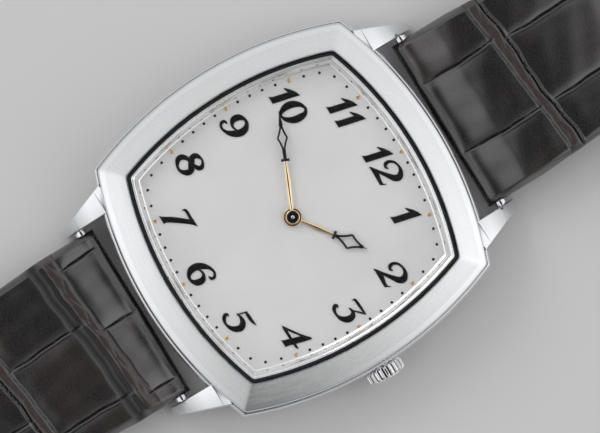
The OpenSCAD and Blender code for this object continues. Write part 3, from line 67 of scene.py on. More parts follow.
def paint(red: int, green: int, blue: int) -> Colour:
    """Linear colour of a red, green and blue from 0 to 255."""
    parts = (((c / 255 + 0.055) / 1.055) ** 2.4 if c > 10 else c / 3295 for c in (red, green, blue))
    return (*parts, 1.0)


def smoothstep(value: Array | float, low: float, high: float) -> Array:
    """Rise from 0 at low to 1 at high: 3t squared less 2t cubed, with t held between 0 and 1."""
    t = np.clip((np.asarray(value, float) - low) / (high - low), 0.0, 1.0)
    return t * t * (3 - 2 * t)


# Shader graphs and shared groups


class Graph:
    """Places and links shader nodes in one tree, so that a formula reads as calls."""

    def __init__(self, tree: bpy.types.NodeTree) -> None:
        """Keep the tree that the nodes go into."""
        self.tree = tree

    def feed(self, socket: Socket, value: object) -> None:
        """Link a socket to an input, or set the input's own value.

        Args:
            socket: The input to feed.
            value: An output socket to link, or a plain value.
        """
        if isinstance(value, Socket):
            self.tree.links.new(value, socket)
        else:
            socket.default_value = value

    def node(self, kind: str, inputs: dict | None = None, **settings: object) -> bpy.types.Node:
        """Add one node.

        Args:
            kind: The node's type name.
            inputs: Values or sockets by input name or index.
            settings: Properties set on the node before its inputs.

        Returns:
            The new node.
        """
        made = self.tree.nodes.new(kind)
        for name, value in settings.items():
            setattr(made, name, value)
        for name, value in (inputs or {}).items():
            self.feed(made.inputs[name], value)
        return made

    def math(self, operation: str, *terms: object, clamp: bool = False) -> Socket:
        """Add a Math node and return its result.

        Args:
            operation: The Math node's operation.
            terms: As many terms as the operation has.
            clamp: Whether the result is held between 0 and 1.

        Returns:
            The result's socket.
        """
        made = self.node("ShaderNodeMath", dict(enumerate(terms)), operation=operation, use_clamp=clamp)
        return made.outputs[0]

    def times(self, first: object, second: object) -> Socket:
        """Product of two values."""
        return self.math("MULTIPLY", first, second)

    def plus(self, first: object, second: object) -> Socket:
        """Sum of two values."""
        return self.math("ADD", first, second)

    def vector_math(self, operation: str, *terms: object) -> bpy.types.Node:
        """Add a Vector Math node."""
        return self.node("ShaderNodeVectorMath", dict(enumerate(terms)), operation=operation)

    def mix(self, share: object, first: object, second: object) -> Socket:
        """Mix two colours by a share and return the colour's socket."""
        made = self.node("ShaderNodeMix", {0: share, 6: first, 7: second}, data_type="RGBA")
        return made.outputs[2]

    def spread(self, value: object, low: float, high: float, new_low: float, new_high: float) -> Socket:
        """Carry a value from one range over to another, held at both ends.

        Args:
            value: The value's socket.
            low: Start of its range.
            high: End of its range.
            new_low: What the start becomes.
            new_high: What the end becomes.

        Returns:
            The new value's socket.
        """
        made = self.node("ShaderNodeMapRange", {0: value, 1: low, 2: high, 3: new_low, 4: new_high})
        return made.outputs[0]

    def noise(self, vector: object, density: object, detail: float = 2.0, rough: float = 0.5,
              bend: float = 0.0) -> Socket:
        """Add a Noise texture and return its value.

        Args:
            vector: Where the noise is read.
            density: Cells per metre.
            detail: Octaves.
            rough: Weight of the finer octaves.
            bend: Distortion.

        Returns:
            The value's socket.
        """
        made = self.node("ShaderNodeTexNoise", {"Vector": vector, "Scale": density, "Detail": detail,
                                                "Roughness": rough, "Distortion": bend})
        return made.outputs[0]

    def place(self) -> Socket:
        """Object coordinates, in metres."""
        return self.node("ShaderNodeTexCoord").outputs["Object"]

    def attribute(self, name: str) -> Socket:
        """One of the piece's own attributes."""
        return self.node("ShaderNodeAttribute", attribute_name=name).outputs["Fac"]

    def parts(self, vector: object) -> tuple[Socket, ...]:
        """The x, y and z of a vector."""
        return tuple(self.node("ShaderNodeSeparateXYZ", {0: vector}).outputs)

    def vector(self, x: object, y: object, z: object) -> Socket:
        """A vector from its x, y and z."""
        return self.node("ShaderNodeCombineXYZ", {0: x, 1: y, 2: z}).outputs[0]


class MaterialGraph(Graph):
    """The graph of a new material, with its shader at hand."""

    def __init__(self, name: str) -> None:
        """Make the material and find its shader.

        Args:
            name: The material's name.
        """
        self.made = bpy.data.materials.new(name)
        self.made.use_nodes = True
        super().__init__(self.made.node_tree)
        self.shader = self.tree.nodes["Principled BSDF"]

    def give(self, values: dict[str, object]) -> None:
        """Feed the shader's inputs, by name."""
        for label, value in values.items():
            self.feed(self.shader.inputs[label], value)

    def bump(self, height: object, distance: float) -> None:
        """Press a height into the shader's normal, with a distance in metres."""
        made = self.node("ShaderNodeBump", {"Strength": 1.0, "Distance": distance, "Height": height})
        self.give({"Normal": made.outputs[0]})


class EffectGroup:
    """A shader node group with named inputs and outputs, built once and used by several finishes."""

    name = "effect"
    inputs: tuple[tuple[str, float], ...] = ()
    outputs: tuple[str, ...] = ()

    @classmethod
    def tree(cls) -> bpy.types.NodeTree:
        """Find the group's tree, or make it with its sockets and its inner nodes.

        Returns:
            The group's node tree.
        """
        found = bpy.data.node_groups.get(cls.name)
        if found:
            return found
        made = bpy.data.node_groups.new(cls.name, "ShaderNodeTree")
        made.interface.new_socket("Vector", in_out="INPUT", socket_type="NodeSocketVector")
        for label, value in cls.inputs:
            socket = made.interface.new_socket(label, in_out="INPUT", socket_type="NodeSocketFloat")
            socket.default_value = value
        for label in cls.outputs:
            made.interface.new_socket(label, in_out="OUTPUT", socket_type="NodeSocketFloat")
        graph = Graph(made)
        start = graph.node("NodeGroupInput").outputs
        end = graph.node("NodeGroupOutput").inputs
        for label, socket in cls.inside(graph, start).items():
            graph.feed(end[label], socket)
        return made

    @classmethod
    def inside(cls, graph: Graph, start: Sockets) -> dict[str, Socket]:
        """Build the inner nodes and name the sockets that leave the group.

        Args:
            graph: The group's graph.
            start: The sockets that enter the group.

        Returns:
            The sockets that leave the group, by name.
        """
        raise NotImplementedError

    @classmethod
    def use(cls, graph: Graph, vector: object, **values: object) -> Sockets:
        """Place the group in a material.

        Args:
            graph: The material's graph.
            vector: Where the effect is read.
            values: Values or sockets of the group's named inputs.

        Returns:
            The sockets that leave the group.
        """
        inputs = {"Vector": vector, **values}
        return graph.node("ShaderNodeGroup", inputs, node_tree=cls.tree()).outputs


class BrushedLines(EffectGroup):
    """Fine lines: noise that runs slowly along x and y and fast with the distance across."""

    name = "brushed_lines"
    inputs = (("Across", 0.0), ("Density", 25000.0))
    outputs = ("Height", "Tone")
    slow = 450.0

    @classmethod
    def inside(cls, graph: Graph, start: Sockets) -> dict[str, Socket]:
        """Two noises over slow x and y, the first fine and the second nine times as broad across.

        Args:
            graph: The group's graph.
            start: The sockets that enter the group.

        Returns:
            The sockets that leave the group, by name.
        """
        x, y, _ = graph.parts(start["Vector"])
        fast = graph.times(start["Across"], start["Density"])
        slow_x, slow_y = (graph.times(axis, cls.slow) for axis in (x, y))
        lines = graph.noise(graph.vector(slow_x, slow_y, fast), 1.0, 3.0, 0.6)
        broad = graph.noise(graph.vector(slow_x, slow_y, graph.times(fast, 0.11)), 1.0)
        return {"Height": lines, "Tone": graph.plus(graph.times(lines, 0.5), graph.times(broad, 0.5))}


class HairScratches(EffectGroup):
    """Sparse hair-fine scratches in three directions, and a soft haze for the roughness."""

    name = "hair_scratches"
    inputs = (("Density", 900.0),)
    outputs = ("Height", "Haze")
    turns = (0.35, 1.5, 2.6)

    @classmethod
    def inside(cls, graph: Graph, start: Sockets) -> dict[str, Socket]:
        """Noise drawn out along three turned directions, of which only the peaks are kept.

        Args:
            graph: The group's graph.
            start: The sockets that enter the group.

        Returns:
            The sockets that leave the group, by name.
        """
        scratches = 0.0
        for turn in cls.turns:
            drawn = graph.node("ShaderNodeMapping", {"Vector": start["Vector"], "Rotation": (0, 0, turn),
                                                     "Scale": (1.0, 0.02, 0.2)})
            wave = graph.noise(drawn.outputs[0], graph.times(start["Density"], 8.0), 1.0)
            scratches = graph.math("MAXIMUM", scratches, graph.spread(wave, 0.66, 0.72, 0.0, 1.0))
        haze = graph.noise(start["Vector"], graph.times(start["Density"], 0.35), 3.0, 0.6)
        return {"Height": scratches, "Haze": haze}


class LeatherGrain(EffectGroup):
    """Pores and fine wrinkles of a hide: cell borders pressed in, with noise over them."""

    name = "leather_grain"
    inputs = (("Density", 2600.0),)
    outputs = ("Height", "Pores")

    @classmethod
    def inside(cls, graph: Graph, start: Sockets) -> dict[str, Socket]:
        """Distance to the borders of bent cells, with a share of noise added.

        Args:
            graph: The group's graph.
            start: The sockets that enter the group.

        Returns:
            The sockets that leave the group, by name.
        """
        bent = graph.node("ShaderNodeTexNoise", {"Vector": start["Vector"], "Scale": 900.0, "Detail": 2.0})
        shift = graph.vector_math("MULTIPLY", bent.outputs[1], (0.0009, 0.0009, 0.0009))
        moved = graph.vector_math("ADD", start["Vector"], shift.outputs[0])
        cells = graph.node("ShaderNodeTexVoronoi", {"Vector": moved.outputs[0], "Scale": start["Density"]},
                           feature="DISTANCE_TO_EDGE")
        pores = graph.spread(cells.outputs[0], 0.0, 0.16, 0.0, 1.0)
        fine = graph.noise(start["Vector"], 9000.0, 3.0, 0.6)
        return {"Height": graph.plus(graph.times(pores, 0.6), graph.times(fine, 0.5)), "Pores": pores}


class Mottle(EffectGroup):
    """Slow cloudy change of tone over a surface."""

    name = "mottle"
    inputs = (("Density", 120.0), ("Contrast", 1.0))
    outputs = ("Tone",)

    @classmethod
    def inside(cls, graph: Graph, start: Sockets) -> dict[str, Socket]:
        """Noise of four octaves, spread about one half by the contrast.

        Args:
            graph: The group's graph.
            start: The sockets that enter the group.

        Returns:
            The sockets that leave the group, by name.
        """
        cloud = graph.noise(start["Vector"], start["Density"], 4.0, 0.55, 0.4)
        lean = graph.times(graph.math("SUBTRACT", cloud, 0.5), start["Contrast"])
        return {"Tone": graph.math("ADD", graph.times(lean, 2.0), 0.5, clamp=True)}


class Stripes(EffectGroup):
    """Parallel arched stripes, as cut on a movement's bridges."""

    name = "stripes"
    inputs = (("Across", 0.0), ("Width", 0.0011))
    outputs = ("Height", "Tone")

    @classmethod
    def inside(cls, graph: Graph, start: Sockets) -> dict[str, Socket]:
        """Share t of each stripe, turned into a low arch 4 t (1 - t), with fine lines along it.

        Args:
            graph: The group's graph.
            start: The sockets that enter the group.

        Returns:
            The sockets that leave the group, by name.
        """
        share = graph.math("FRACT", graph.math("DIVIDE", start["Across"], start["Width"]))
        arch = graph.times(graph.times(share, graph.math("SUBTRACT", 1.0, share)), 4.0)
        x, y, _ = graph.parts(start["Vector"])
        fast = graph.times(start["Across"], 30000.0)
        fine = graph.noise(graph.vector(graph.times(x, 500.0), graph.times(y, 500.0), fast), 1.0)
        return {"Height": graph.plus(arch, graph.times(fine, 0.08)), "Tone": share}


# Finishes


class Lay(Enum):
    """Which way a metal's finishing lines run."""

    MIRROR = "mirror"
    ALONG_X = "along x"
    ROUND = "round the centre"
    ROUND_STEM = "round the stem"
    SIDES = "along the cushion's sides"
    STRIPED = "arched stripes"


@dataclass(frozen=True)
class MetalFinish:
    """A metal: its colour, its roughness and the lines that its finishing leaves.

    depth is the lines' depth in millimetres, density how many there are in a metre, and shade the brightness
    of the darkest tone as a share of the colour.
    """

    name: str
    colour: Colour
    roughness: float
    lay: Lay = Lay.MIRROR
    depth: float = 0.0
    density: float = 25000.0
    shade: float = 0.85

    def across(self, graph: Graph, place: Socket) -> Socket:
        """Distance across the finishing lines.

        Args:
            graph: The material's graph.
            place: Object coordinates.

        Returns:
            The distance's socket, in metres.
        """
        if self.lay is Lay.SIDES:
            return graph.attribute("across")
        x, y, z = graph.parts(place)
        if self.lay in (Lay.ROUND, Lay.ROUND_STEM):
            first, second = (x, y) if self.lay is Lay.ROUND else (y, graph.math("SUBTRACT", z, STEM_Z * MM))
            return graph.vector_math("LENGTH", graph.vector(first, second, 0.0)).outputs["Value"]
        if self.lay is Lay.STRIPED:
            return graph.plus(graph.times(x, 0.82), graph.times(y, 0.57))
        return y

    def dress(self, graph: MaterialGraph) -> None:
        """Put lines in tone, roughness and bump, or hair scratches and haze on a mirror finish.

        Args:
            graph: The new material's graph.
        """
        place = graph.place()
        if self.lay is Lay.MIRROR:
            effect = HairScratches.use(graph, place)
            tone, span, most = effect["Haze"], (0.3, 0.7), 1.3
        elif self.lay is Lay.STRIPED:
            effect = Stripes.use(graph, place, Across=self.across(graph, place))
            tone, span, most = effect["Tone"], (0.0, 1.0), 1.25
        else:
            effect = BrushedLines.use(graph, place, Across=self.across(graph, place), Density=self.density)
            tone, span, most = effect["Tone"], (0.35, 0.65), 1.2
        dark = (*(c * self.shade for c in self.colour[:3]), 1.0)
        graph.give({"Base Color": graph.mix(graph.spread(tone, 0.35, 0.65, 0.0, 1.0), dark, self.colour),
                    "Roughness": graph.spread(tone, *span, self.roughness * 0.8, self.roughness * most),
                    "Metallic": 1.0})
        if self.depth:
            graph.bump(effect["Height"], self.depth * MM)


@dataclass(frozen=True)
class EnamelFinish:
    """A glossy or matt coat: black figures, rubber, ruby."""

    name: str
    colour: Colour
    second: Colour
    roughness: float
    coat: float = 0.0
    grain: float = 0.0
    density: float = 6000.0

    def dress(self, graph: MaterialGraph) -> None:
        """Give the coat a mottled tone and a fine grain in the bump.

        Args:
            graph: The new material's graph.
        """
        place = graph.place()
        tone = Mottle.use(graph, place, Density=700.0)["Tone"]
        fine = graph.noise(place, self.density)
        rough = graph.spread(fine, 0.3, 0.7, self.roughness * 0.85, self.roughness * 1.15)
        graph.give({"Base Color": graph.mix(tone, self.colour, self.second), "Roughness": rough,
                    "Coat Weight": self.coat, "Coat Roughness": 0.08})
        graph.bump(fine, self.grain * MM)


@dataclass(frozen=True)
class DialFinish:
    """Silvered dial: a fine even grain under a pale coat."""

    name: str
    colour: Colour
    second: Colour
    grain: float = 0.006

    def dress(self, graph: MaterialGraph) -> None:
        """Put the grain in bump and tone, with a slow change of tone.

        Args:
            graph: The new material's graph.
        """
        place = graph.place()
        grain = graph.noise(place, 7500.0, 3.0, 0.7)
        cloud = Mottle.use(graph, place, Density=140.0, Contrast=0.5)["Tone"]
        share = graph.plus(graph.times(grain, 0.55), graph.times(cloud, 0.45))
        tone = graph.mix(graph.spread(share, 0.3, 0.7, 0.0, 1.0), self.second, self.colour)
        graph.give({"Base Color": tone, "Roughness": graph.spread(grain, 0.3, 0.7, 0.42, 0.55),
                    "Metallic": graph.spread(grain, 0.2, 0.8, 0.12, 0.2)})
        graph.bump(grain, self.grain * MM)


@dataclass(frozen=True)
class GlassFinish:
    """Clear sapphire that lets lamp light and the dial's own light through unbent."""

    name: str

    def dress(self, graph: MaterialGraph) -> None:
        """Make a Principled glass, replaced by a clear shader for shadow and diffuse rays.

        Args:
            graph: The new material's graph.
        """
        graph.give({"Base Color": (0.985, 0.99, 1.0, 1.0), "Roughness": 0.0, "IOR": 1.35,
                    "Transmission Weight": 1.0})
        rays = graph.node("ShaderNodeLightPath").outputs
        through = graph.math("MAXIMUM", rays["Is Shadow Ray"], rays["Is Diffuse Ray"])
        clear = graph.node("ShaderNodeBsdfTransparent").outputs[0]
        both = graph.node("ShaderNodeMixShader", {0: through, 1: graph.shader.outputs[0], 2: clear})
        graph.feed(graph.tree.nodes["Material Output"].inputs["Surface"], both.outputs[0])


@dataclass(frozen=True)
class LeatherFinish:
    """Hide with grain in its bump, painted shade in the folds and creases of a scaled hide, and a satin
    shine on its crowns.

    warm is the tone of its cloudy patches and bands, and deep the colour of its pores and of the painted
    shade in its folds and creases.
    """

    name: str
    colour: Colour
    warm: Colour
    deep: Colour
    roughness: float
    density: float = 2600.0
    grain: float = 0.03
    coat: float = 0.0
    scaled: bool = False

    def dress(self, graph: MaterialGraph) -> None:
        """Mottle the colour, paint fold shade and band colour by the attributes, and put the grain in the
        bump.

        Args:
            graph: The new material's graph.
        """
        place = graph.place()
        grain = LeatherGrain.use(graph, place, Density=self.density)
        tone = Mottle.use(graph, place, Density=110.0, Contrast=1.4)["Tone"]
        colour = graph.mix(graph.spread(tone, 0.45, 1.0, 0.0, 0.55), self.colour, self.warm)
        rough = graph.spread(grain["Height"], 0.3, 0.9, self.roughness * 1.2, self.roughness * 0.85)
        coat = self.coat
        if self.scaled:
            fold, band = graph.attribute("fold"), graph.attribute("band")
            colour = graph.mix(graph.times(band, 0.85), colour, self.warm)
            # Painted shade: the fold attribute darkens folds, creases and pressed lines towards deep.
            colour = graph.mix(fold, colour, self.deep)
            dull = graph.math("MAXIMUM", fold, graph.times(band, 0.5))
            rough = graph.math("MULTIPLY_ADD", dull, 0.45, rough, clamp=True)
            coat = graph.times(graph.math("SUBTRACT", 1.0, dull), self.coat)
        colour = graph.mix(graph.spread(grain["Pores"], 0.0, 0.6, 0.3, 0.0), colour, self.deep)
        graph.give({"Base Color": colour, "Roughness": rough, "Coat Weight": coat, "Coat Roughness": 0.2,
                    "Coat IOR": 1.7})
        graph.bump(grain["Height"], self.grain * MM)


SATIN = MetalFinish("satin_steel", paint(232, 233, 233), 0.28, Lay.SIDES, 0.0005, 22000.0, 0.96)
MIRROR = MetalFinish("polished_steel", paint(236, 237, 239), 0.07, shade=0.97)
BRUSHED_BACK = MetalFinish("back_steel", paint(222, 223, 226), 0.26, Lay.ROUND, 0.0015, 18000.0)
CROWN_STEEL = MetalFinish("crown_steel", paint(240, 240, 240), 0.16, Lay.ROUND_STEM, 0.0003, 30000.0, 0.97)
# Painted shade: a dark grey for the crown's flute valleys, where shade falls.
VALLEY_PAINTED_SHADE = MetalFinish("valley_painted_shade", paint(128, 129, 132), 0.3, Lay.ROUND_STEM, 0.0003, 30000.0, 0.9)
BRIGHT = MetalFinish("flange_steel", paint(246, 246, 245), 0.16, Lay.SIDES, 0.0005, 9000.0, 0.97)
GOLD = MetalFinish("polished_gold", paint(250, 226, 184), 0.14, shade=0.94)
ROSE_GOLD = MetalFinish("rose_gold", paint(234, 208, 176), 0.3, shade=0.9)
ROTOR_GOLD = MetalFinish("rotor_gold", paint(226, 184, 110), 0.24, Lay.ROUND, 0.0015, 14000.0)
BRASS = MetalFinish("wheel_brass", paint(214, 184, 120), 0.25, Lay.ROUND, 0.001, 20000.0)
GILT = MetalFinish("gilt_plate", paint(222, 205, 165), 0.34, Lay.ROUND, 0.001, 9000.0)
RHODIUM = MetalFinish("striped_rhodium", paint(214, 215, 219), 0.22, Lay.STRIPED, 0.03)
WHEEL_STEEL = MetalFinish("wheel_steel", paint(205, 207, 212), 0.22, Lay.ALONG_X, 0.001, 20000.0)
DARK_STEEL = MetalFinish("dark_steel", paint(120, 122, 128), 0.25, Lay.ALONG_X, 0.001, 20000.0)
BLUED = MetalFinish("blued_steel", paint(44, 62, 138), 0.18, shade=0.8)
BLACK = EnamelFinish("black_enamel", paint(5, 5, 6), paint(11, 11, 12), 0.3, 0.1, 0.0003)
# Painted dark reflection along the hands' ridges.
PAINTED_RIDGE_REFLECTION = EnamelFinish("painted_ridge_reflection", paint(46, 28, 16), paint(60, 38, 24), 0.3, 0.3, 0.0003)
RUBBER = EnamelFinish("black_rubber", paint(14, 15, 20), paint(24, 26, 34), 0.42, 0.0, 0.002)
RUBY = EnamelFinish("ruby", paint(178, 24, 58), paint(205, 40, 76), 0.1, 1.0, 0.0)
SILVER_DIAL = DialFinish("silver_dial", paint(239, 239, 236), paint(223, 223, 221))
SAPPHIRE = GlassFinish("sapphire")
# deep is also the colour of the painted shade in the folds and creases.
SCALES = LeatherFinish("scaled_leather", colour=paint(24, 22, 23), warm=paint(50, 39, 36),
                       deep=paint(8, 7, 7), roughness=0.3, density=2300.0, grain=0.008, coat=1.0,
                       scaled=True)
LINING = LeatherFinish("lining_leather", colour=paint(72, 58, 50), warm=paint(88, 72, 60),
                       deep=paint(36, 28, 24), roughness=0.62, density=3600.0, grain=0.02)
LOOP = LeatherFinish("loop_leather", colour=paint(48, 45, 45), warm=paint(66, 56, 52),
                     deep=paint(20, 18, 17), roughness=0.42, grain=0.015, coat=0.2)
Finish = MetalFinish | EnamelFinish | DialFinish | GlassFinish | LeatherFinish


class Workshop:
    """Keeps one material for each finish."""

    made: dict[str, bpy.types.Material] = {}

    @classmethod
    def finish(cls, finish: Finish) -> bpy.types.Material:
        """Find a finish's material, or build it once.

        Args:
            finish: The finish.

        Returns:
            Its material.
        """
        if finish.name not in cls.made:
            graph = MaterialGraph(finish.name)
            finish.dress(graph)
            cls.made[finish.name] = graph.made
        return cls.made[finish.name]


# Surfaces


def grid_quads(rows: int, cols: int, ring: bool) -> Array:
    """Four-cornered faces of a grid of points whose last column joins the first.

    Args:
        rows: Rows of points.
        cols: Columns of points.
        ring: Whether the last row joins the first as well.

    Returns:
        Faces as rows of four point numbers.
    """
    r, c = np.meshgrid(np.arange(rows if ring else rows - 1), np.arange(cols), indexing="ij")
    r1, c1 = (r + 1) % rows, (c + 1) % cols
    return np.stack([r * cols + c, r * cols + c1, r1 * cols + c1, r1 * cols + c], axis=-1).reshape(-1, 4)


def round_angles(count: int) -> Array:
    """Evenly spaced angles once round, in radians."""
    return np.arange(count) * 2 * np.pi / count


def revolved(radius: Array, height: Array, count: int) -> Array:
    """Turn a profile about the Z axis: x = radius cos a, y = radius sin a and z = height.

    Args:
        radius: Radii of the profile.
        height: Its heights.
        count: Points round the axis.

    Returns:
        Rows by columns of points.
    """
    angle = round_angles(count)
    z = np.broadcast_to(height[:, None], (len(height), count))
    return np.stack([radius[:, None] * np.cos(angle), radius[:, None] * np.sin(angle), z], axis=-1)


def capped(rows: Array) -> Array:
    """Close a tube at both ends with rows of points that all lie in the middle of its end rows."""
    first, last = (row.mean(1, keepdims=True).repeat(rows.shape[1], 1) for row in (rows[:1], rows[-1:]))
    return np.concatenate([first, rows, last])


def fillet(points: list[tuple[float, float]], radii: list[float], steps: int = 5) -> Array:
    """Round the corners of a closed outline.

    Each corner is replaced by a quadratic curve that starts and ends one radius from it along its two sides.

    Args:
        points: The outline's corners.
        radii: How far from each corner its curve starts; 0 keeps it sharp.
        steps: Points on each curve.

    Returns:
        The new outline, one point a row.
    """
    corners = np.asarray(points, float)
    before, after = np.roll(corners, 1, 0), np.roll(corners, -1, 0)
    t = np.linspace(0, 1, steps)[:, None]
    rows = []
    for corner, back, ahead, radius in zip(corners, before, after, radii):
        if radius <= 0:
            rows.append(corner[None])
            continue
        start = corner + (back - corner) / np.linalg.norm(back - corner) * radius
        end = corner + (ahead - corner) / np.linalg.norm(ahead - corner) * radius
        rows.append((1 - t) ** 2 * start + 2 * t * (1 - t) * corner + t ** 2 * end)
    return np.concatenate(rows)


def turned(points: Array, degrees: float) -> Array:
    """Turn points about the Z axis, counter-clockwise seen from above."""
    a = math.radians(degrees)
    return points @ np.array([[math.cos(a), math.sin(a), 0], [-math.sin(a), math.cos(a), 0], [0, 0, 1]])


def add_object(name: str, data: bpy.types.ID) -> Piece:
    """Make an object and link it to the scene.

    Args:
        name: Its name.
        data: Its mesh, lamp or camera.

    Returns:
        The object.
    """
    made = bpy.data.objects.new(name, data)
    bpy.context.scene.collection.objects.link(made)
    return made


class Shell:
    """Points and faces of one piece in millimetres, gathered patch by patch."""

    def __init__(self) -> None:
        """Start with no patch."""
        self.points: list[Array] = []
        self.faces: list[list[int]] = []
        self.zones: list[Array] = []
        self.fields: dict[str, list[Array]] = {}
        self.count = 0

    def patch(self, points: Array, ring: bool = False, zone: int | Array = 0, **fields: Array) -> None:
        """Add a grid of points and its faces. The last column joins the first.

        Args:
            points: Rows by columns of points.
            ring: Whether the last row joins the first as well.
            zone: Number of the finish, for the patch, for each row of faces or for each face.
            fields: Values of each named attribute, one for the patch, for each row or for each point.
        """
        rows, cols = points.shape[:2]
        zone = np.asarray(zone, int)
        by_face = zone if zone.ndim == 2 else zone.reshape(-1, 1)
        self.points.append(points.reshape(-1, 3))
        self.faces.extend((grid_quads(rows, cols, ring) + self.count).tolist())
        self.zones.append(np.broadcast_to(by_face, (rows if ring else rows - 1, cols)).ravel())
        for name, values in fields.items():
            self.fields.setdefault(name, []).append(np.broadcast_to(values, (rows, cols)).reshape(-1))
        self.count += rows * cols

    def build(self, name: str, finishes: list[Finish], sharp: float = 35.0) -> Piece:
        """Make the object: doubles merged, faces turned outwards, smooth but for its sharp edges.

        Args:
            name: The piece's name.
            finishes: Finishes by zone number.
            sharp: Angle in degrees from which an edge stays sharp.

        Returns:
            The new object, linked to the scene.
        """
        mesh = bpy.data.meshes.new(name)
        mesh.from_pydata(np.concatenate(self.points) * MM, [], self.faces)
        mesh.polygons.foreach_set("material_index", np.concatenate(self.zones).astype(np.int32))
        for label, values in self.fields.items():
            mesh.attributes.new(label, "FLOAT", "POINT").data.foreach_set(
                "value", np.concatenate(values).astype(np.float32))
        merge(mesh)
        for finish in finishes:
            mesh.materials.append(Workshop.finish(finish))
        smooth(mesh, sharp)
        return add_object(name, mesh)


def skin(name: str, points: Array, finishes: list[Finish], sharp: float = 35.0, ring: bool = False,
         zone: int | Array = 0, **fields: Array) -> Piece:
    """Make a piece of a single patch.

    Args:
        name: The piece's name.
        points: Rows by columns of points.
        finishes: Finishes by zone number.
        sharp: Angle in degrees from which an edge stays sharp.
        ring: Whether the last row joins the first.
        zone: Number of the finish, for the piece, for each row of faces or for each face.
        fields: Values of each named attribute.

    Returns:
        The new object.
    """
    shell = Shell()
    shell.patch(points, ring, zone, **fields)
    return shell.build(name, finishes, sharp)


def merge(mesh: bpy.types.Mesh) -> None:
    """Merge doubles, drop faces without area and turn every face outwards.

    Args:
        mesh: The mesh to work on.
    """
    work = bmesh.new()
    work.from_mesh(mesh)
    bmesh.ops.remove_doubles(work, verts=work.verts, dist=SAME_POINT)
    bmesh.ops.dissolve_degenerate(work, edges=work.edges, dist=NO_EDGE)
    bmesh.ops.recalc_face_normals(work, faces=work.faces)
    work.to_mesh(mesh)
    work.free()
    mesh.update()


def smooth(mesh: bpy.types.Mesh, sharp: float) -> None:
    """Shade a mesh smooth, with edges over an angle in degrees kept sharp."""
    mesh.polygons.foreach_set("use_smooth", np.ones(len(mesh.polygons), bool))
    mesh.set_sharp_from_angle(angle=math.radians(sharp))


def carve(piece: Piece, cutters: list[Piece], sharp: float = 35.0) -> None:
    """Take the cutters' volume out of a piece with exact Booleans, applied at once.

    Args:
        piece: The piece to cut.
        cutters: Closed shapes to take out, which are removed afterwards.
        sharp: Angle in degrees from which an edge stays sharp.
    """
    for cutter in cutters:
        cut = piece.modifiers.new("cut", "BOOLEAN")
        cut.operation, cut.solver, cut.object = "DIFFERENCE", "EXACT", cutter
        bpy.context.view_layer.update()
        seen = piece.evaluated_get(bpy.context.evaluated_depsgraph_get())
        mesh = bpy.data.meshes.new_from_object(seen)
        piece.modifiers.clear()
        piece.data = mesh
        bpy.data.objects.remove(cutter)
    smooth(piece.data, sharp)


def rod(name: str, start: tuple[float, float, float], end: tuple[float, float, float], radius: float,
        sides: int = 48) -> Piece:
    """A plain closed rod, as a cutter.

    Args:
        name: Its name.
        start: Centre of one end.
        end: Centre of the other end.
        radius: Its radius.
        sides: Faces round it.

    Returns:
        The rod's object.
    """
    first, last = np.array(start, float), np.array(end, float)
    axis = (last - first) / np.linalg.norm(last - first)
    side = np.cross(axis, (0.0, 0.0, 1.0) if abs(axis[2]) < 0.9 else (1.0, 0.0, 0.0))
    side /= np.linalg.norm(side)
    up = np.cross(axis, side)
    angle = round_angles(sides)
    rim = radius * (np.cos(angle)[:, None] * side + np.sin(angle)[:, None] * up)
    poles = [np.broadcast_to(pole, rim.shape) for pole in (first, last)]
    return skin(name, np.stack([poles[0], first + rim, last + rim, poles[1]]), [MIRROR])


def settle(piece: Piece, body: str, slot: str, *nodes: str) -> None:
    """Fix a finished piece to its body and let it stand for its nodes.

    Args:
        piece: The finished piece.
        body: The body that it moves with.
        slot: Name of a material slot; not used.
        nodes: CAD nodes that it replaces.
    """
    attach(piece, body)
    if nodes:
        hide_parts(*nodes)
    log.info("%s: %d faces on %s", piece.name, len(piece.data.polygons), body)


@dataclass(frozen=True)
class Cushion:
    """Plan outline of four equal arcs that meet in corners."""

    back: float = 24.95
    soft: float = 0.06
    quarter: int = 72
    crowd: float = 0.85

    def angles(self) -> Array:
        """Angles round the outline, closest together at the corners.

        Returns:
            Angles in radians: in each quarter, from corner to corner, a share t less
            crowd sin(2 pi t) / (2 pi).
        """
        t = np.arange(self.quarter) / self.quarter
        share = t - self.crowd * np.sin(2 * np.pi * t) / (2 * np.pi)
        return (np.arange(4)[:, None] + share[None, :] - 0.5).reshape(-1) * np.pi / 2

    def radius(self, half: Array, angle: Array) -> Array:
        """Distance from the centre to the outline along each angle.

        Each side is an arc about a point `back` behind the centre, so its distance is
        -back cos + sqrt((half + back) squared - (back sin) squared); the four are joined by a soft minimum.

        Args:
            half: Half widths.
            angle: Angles in radians.

        Returns:
            Distances, one a half width and angle.
        """
        off = angle[..., None] - np.arange(4) * np.pi / 2
        size = np.asarray(half, float)[..., None] + self.back
        reach = -self.back * np.cos(off) + np.sqrt(size ** 2 - (self.back * np.sin(off)) ** 2)
        least = reach.min(-1)
        return least - self.soft * np.log(np.exp(-(reach - least[..., None]) / self.soft).sum(-1))

    def rings(self, profile: Array, round_to: Array | None = None) -> Array:
        """Carry a profile round the outline.

        Args:
            profile: Half width and height, one a row.
            round_to: True where the row is a circle instead.

        Returns:
            Rows by angles of points.
        """
        angle = self.angles()
        reach = self.radius(profile[:, :1], angle[None, :])
        if round_to is not None:
            reach = np.where(round_to[:, None], profile[:, :1], reach)
        z = np.broadcast_to(profile[:, 1:2], reach.shape)
        return np.stack([reach * np.cos(angle), reach * np.sin(angle), z], axis=-1)

    def half_at(self, x: Array, y: Array) -> Array:
        """Half width of the outline that passes through a point: the largest over the four sides."""
        shifts = ((y, x + self.back), (y, self.back - x), (x, y + self.back), (x, self.back - y))
        return np.max([np.hypot(*shift) for shift in shifts], axis=0) - self.back


# The head of the watch


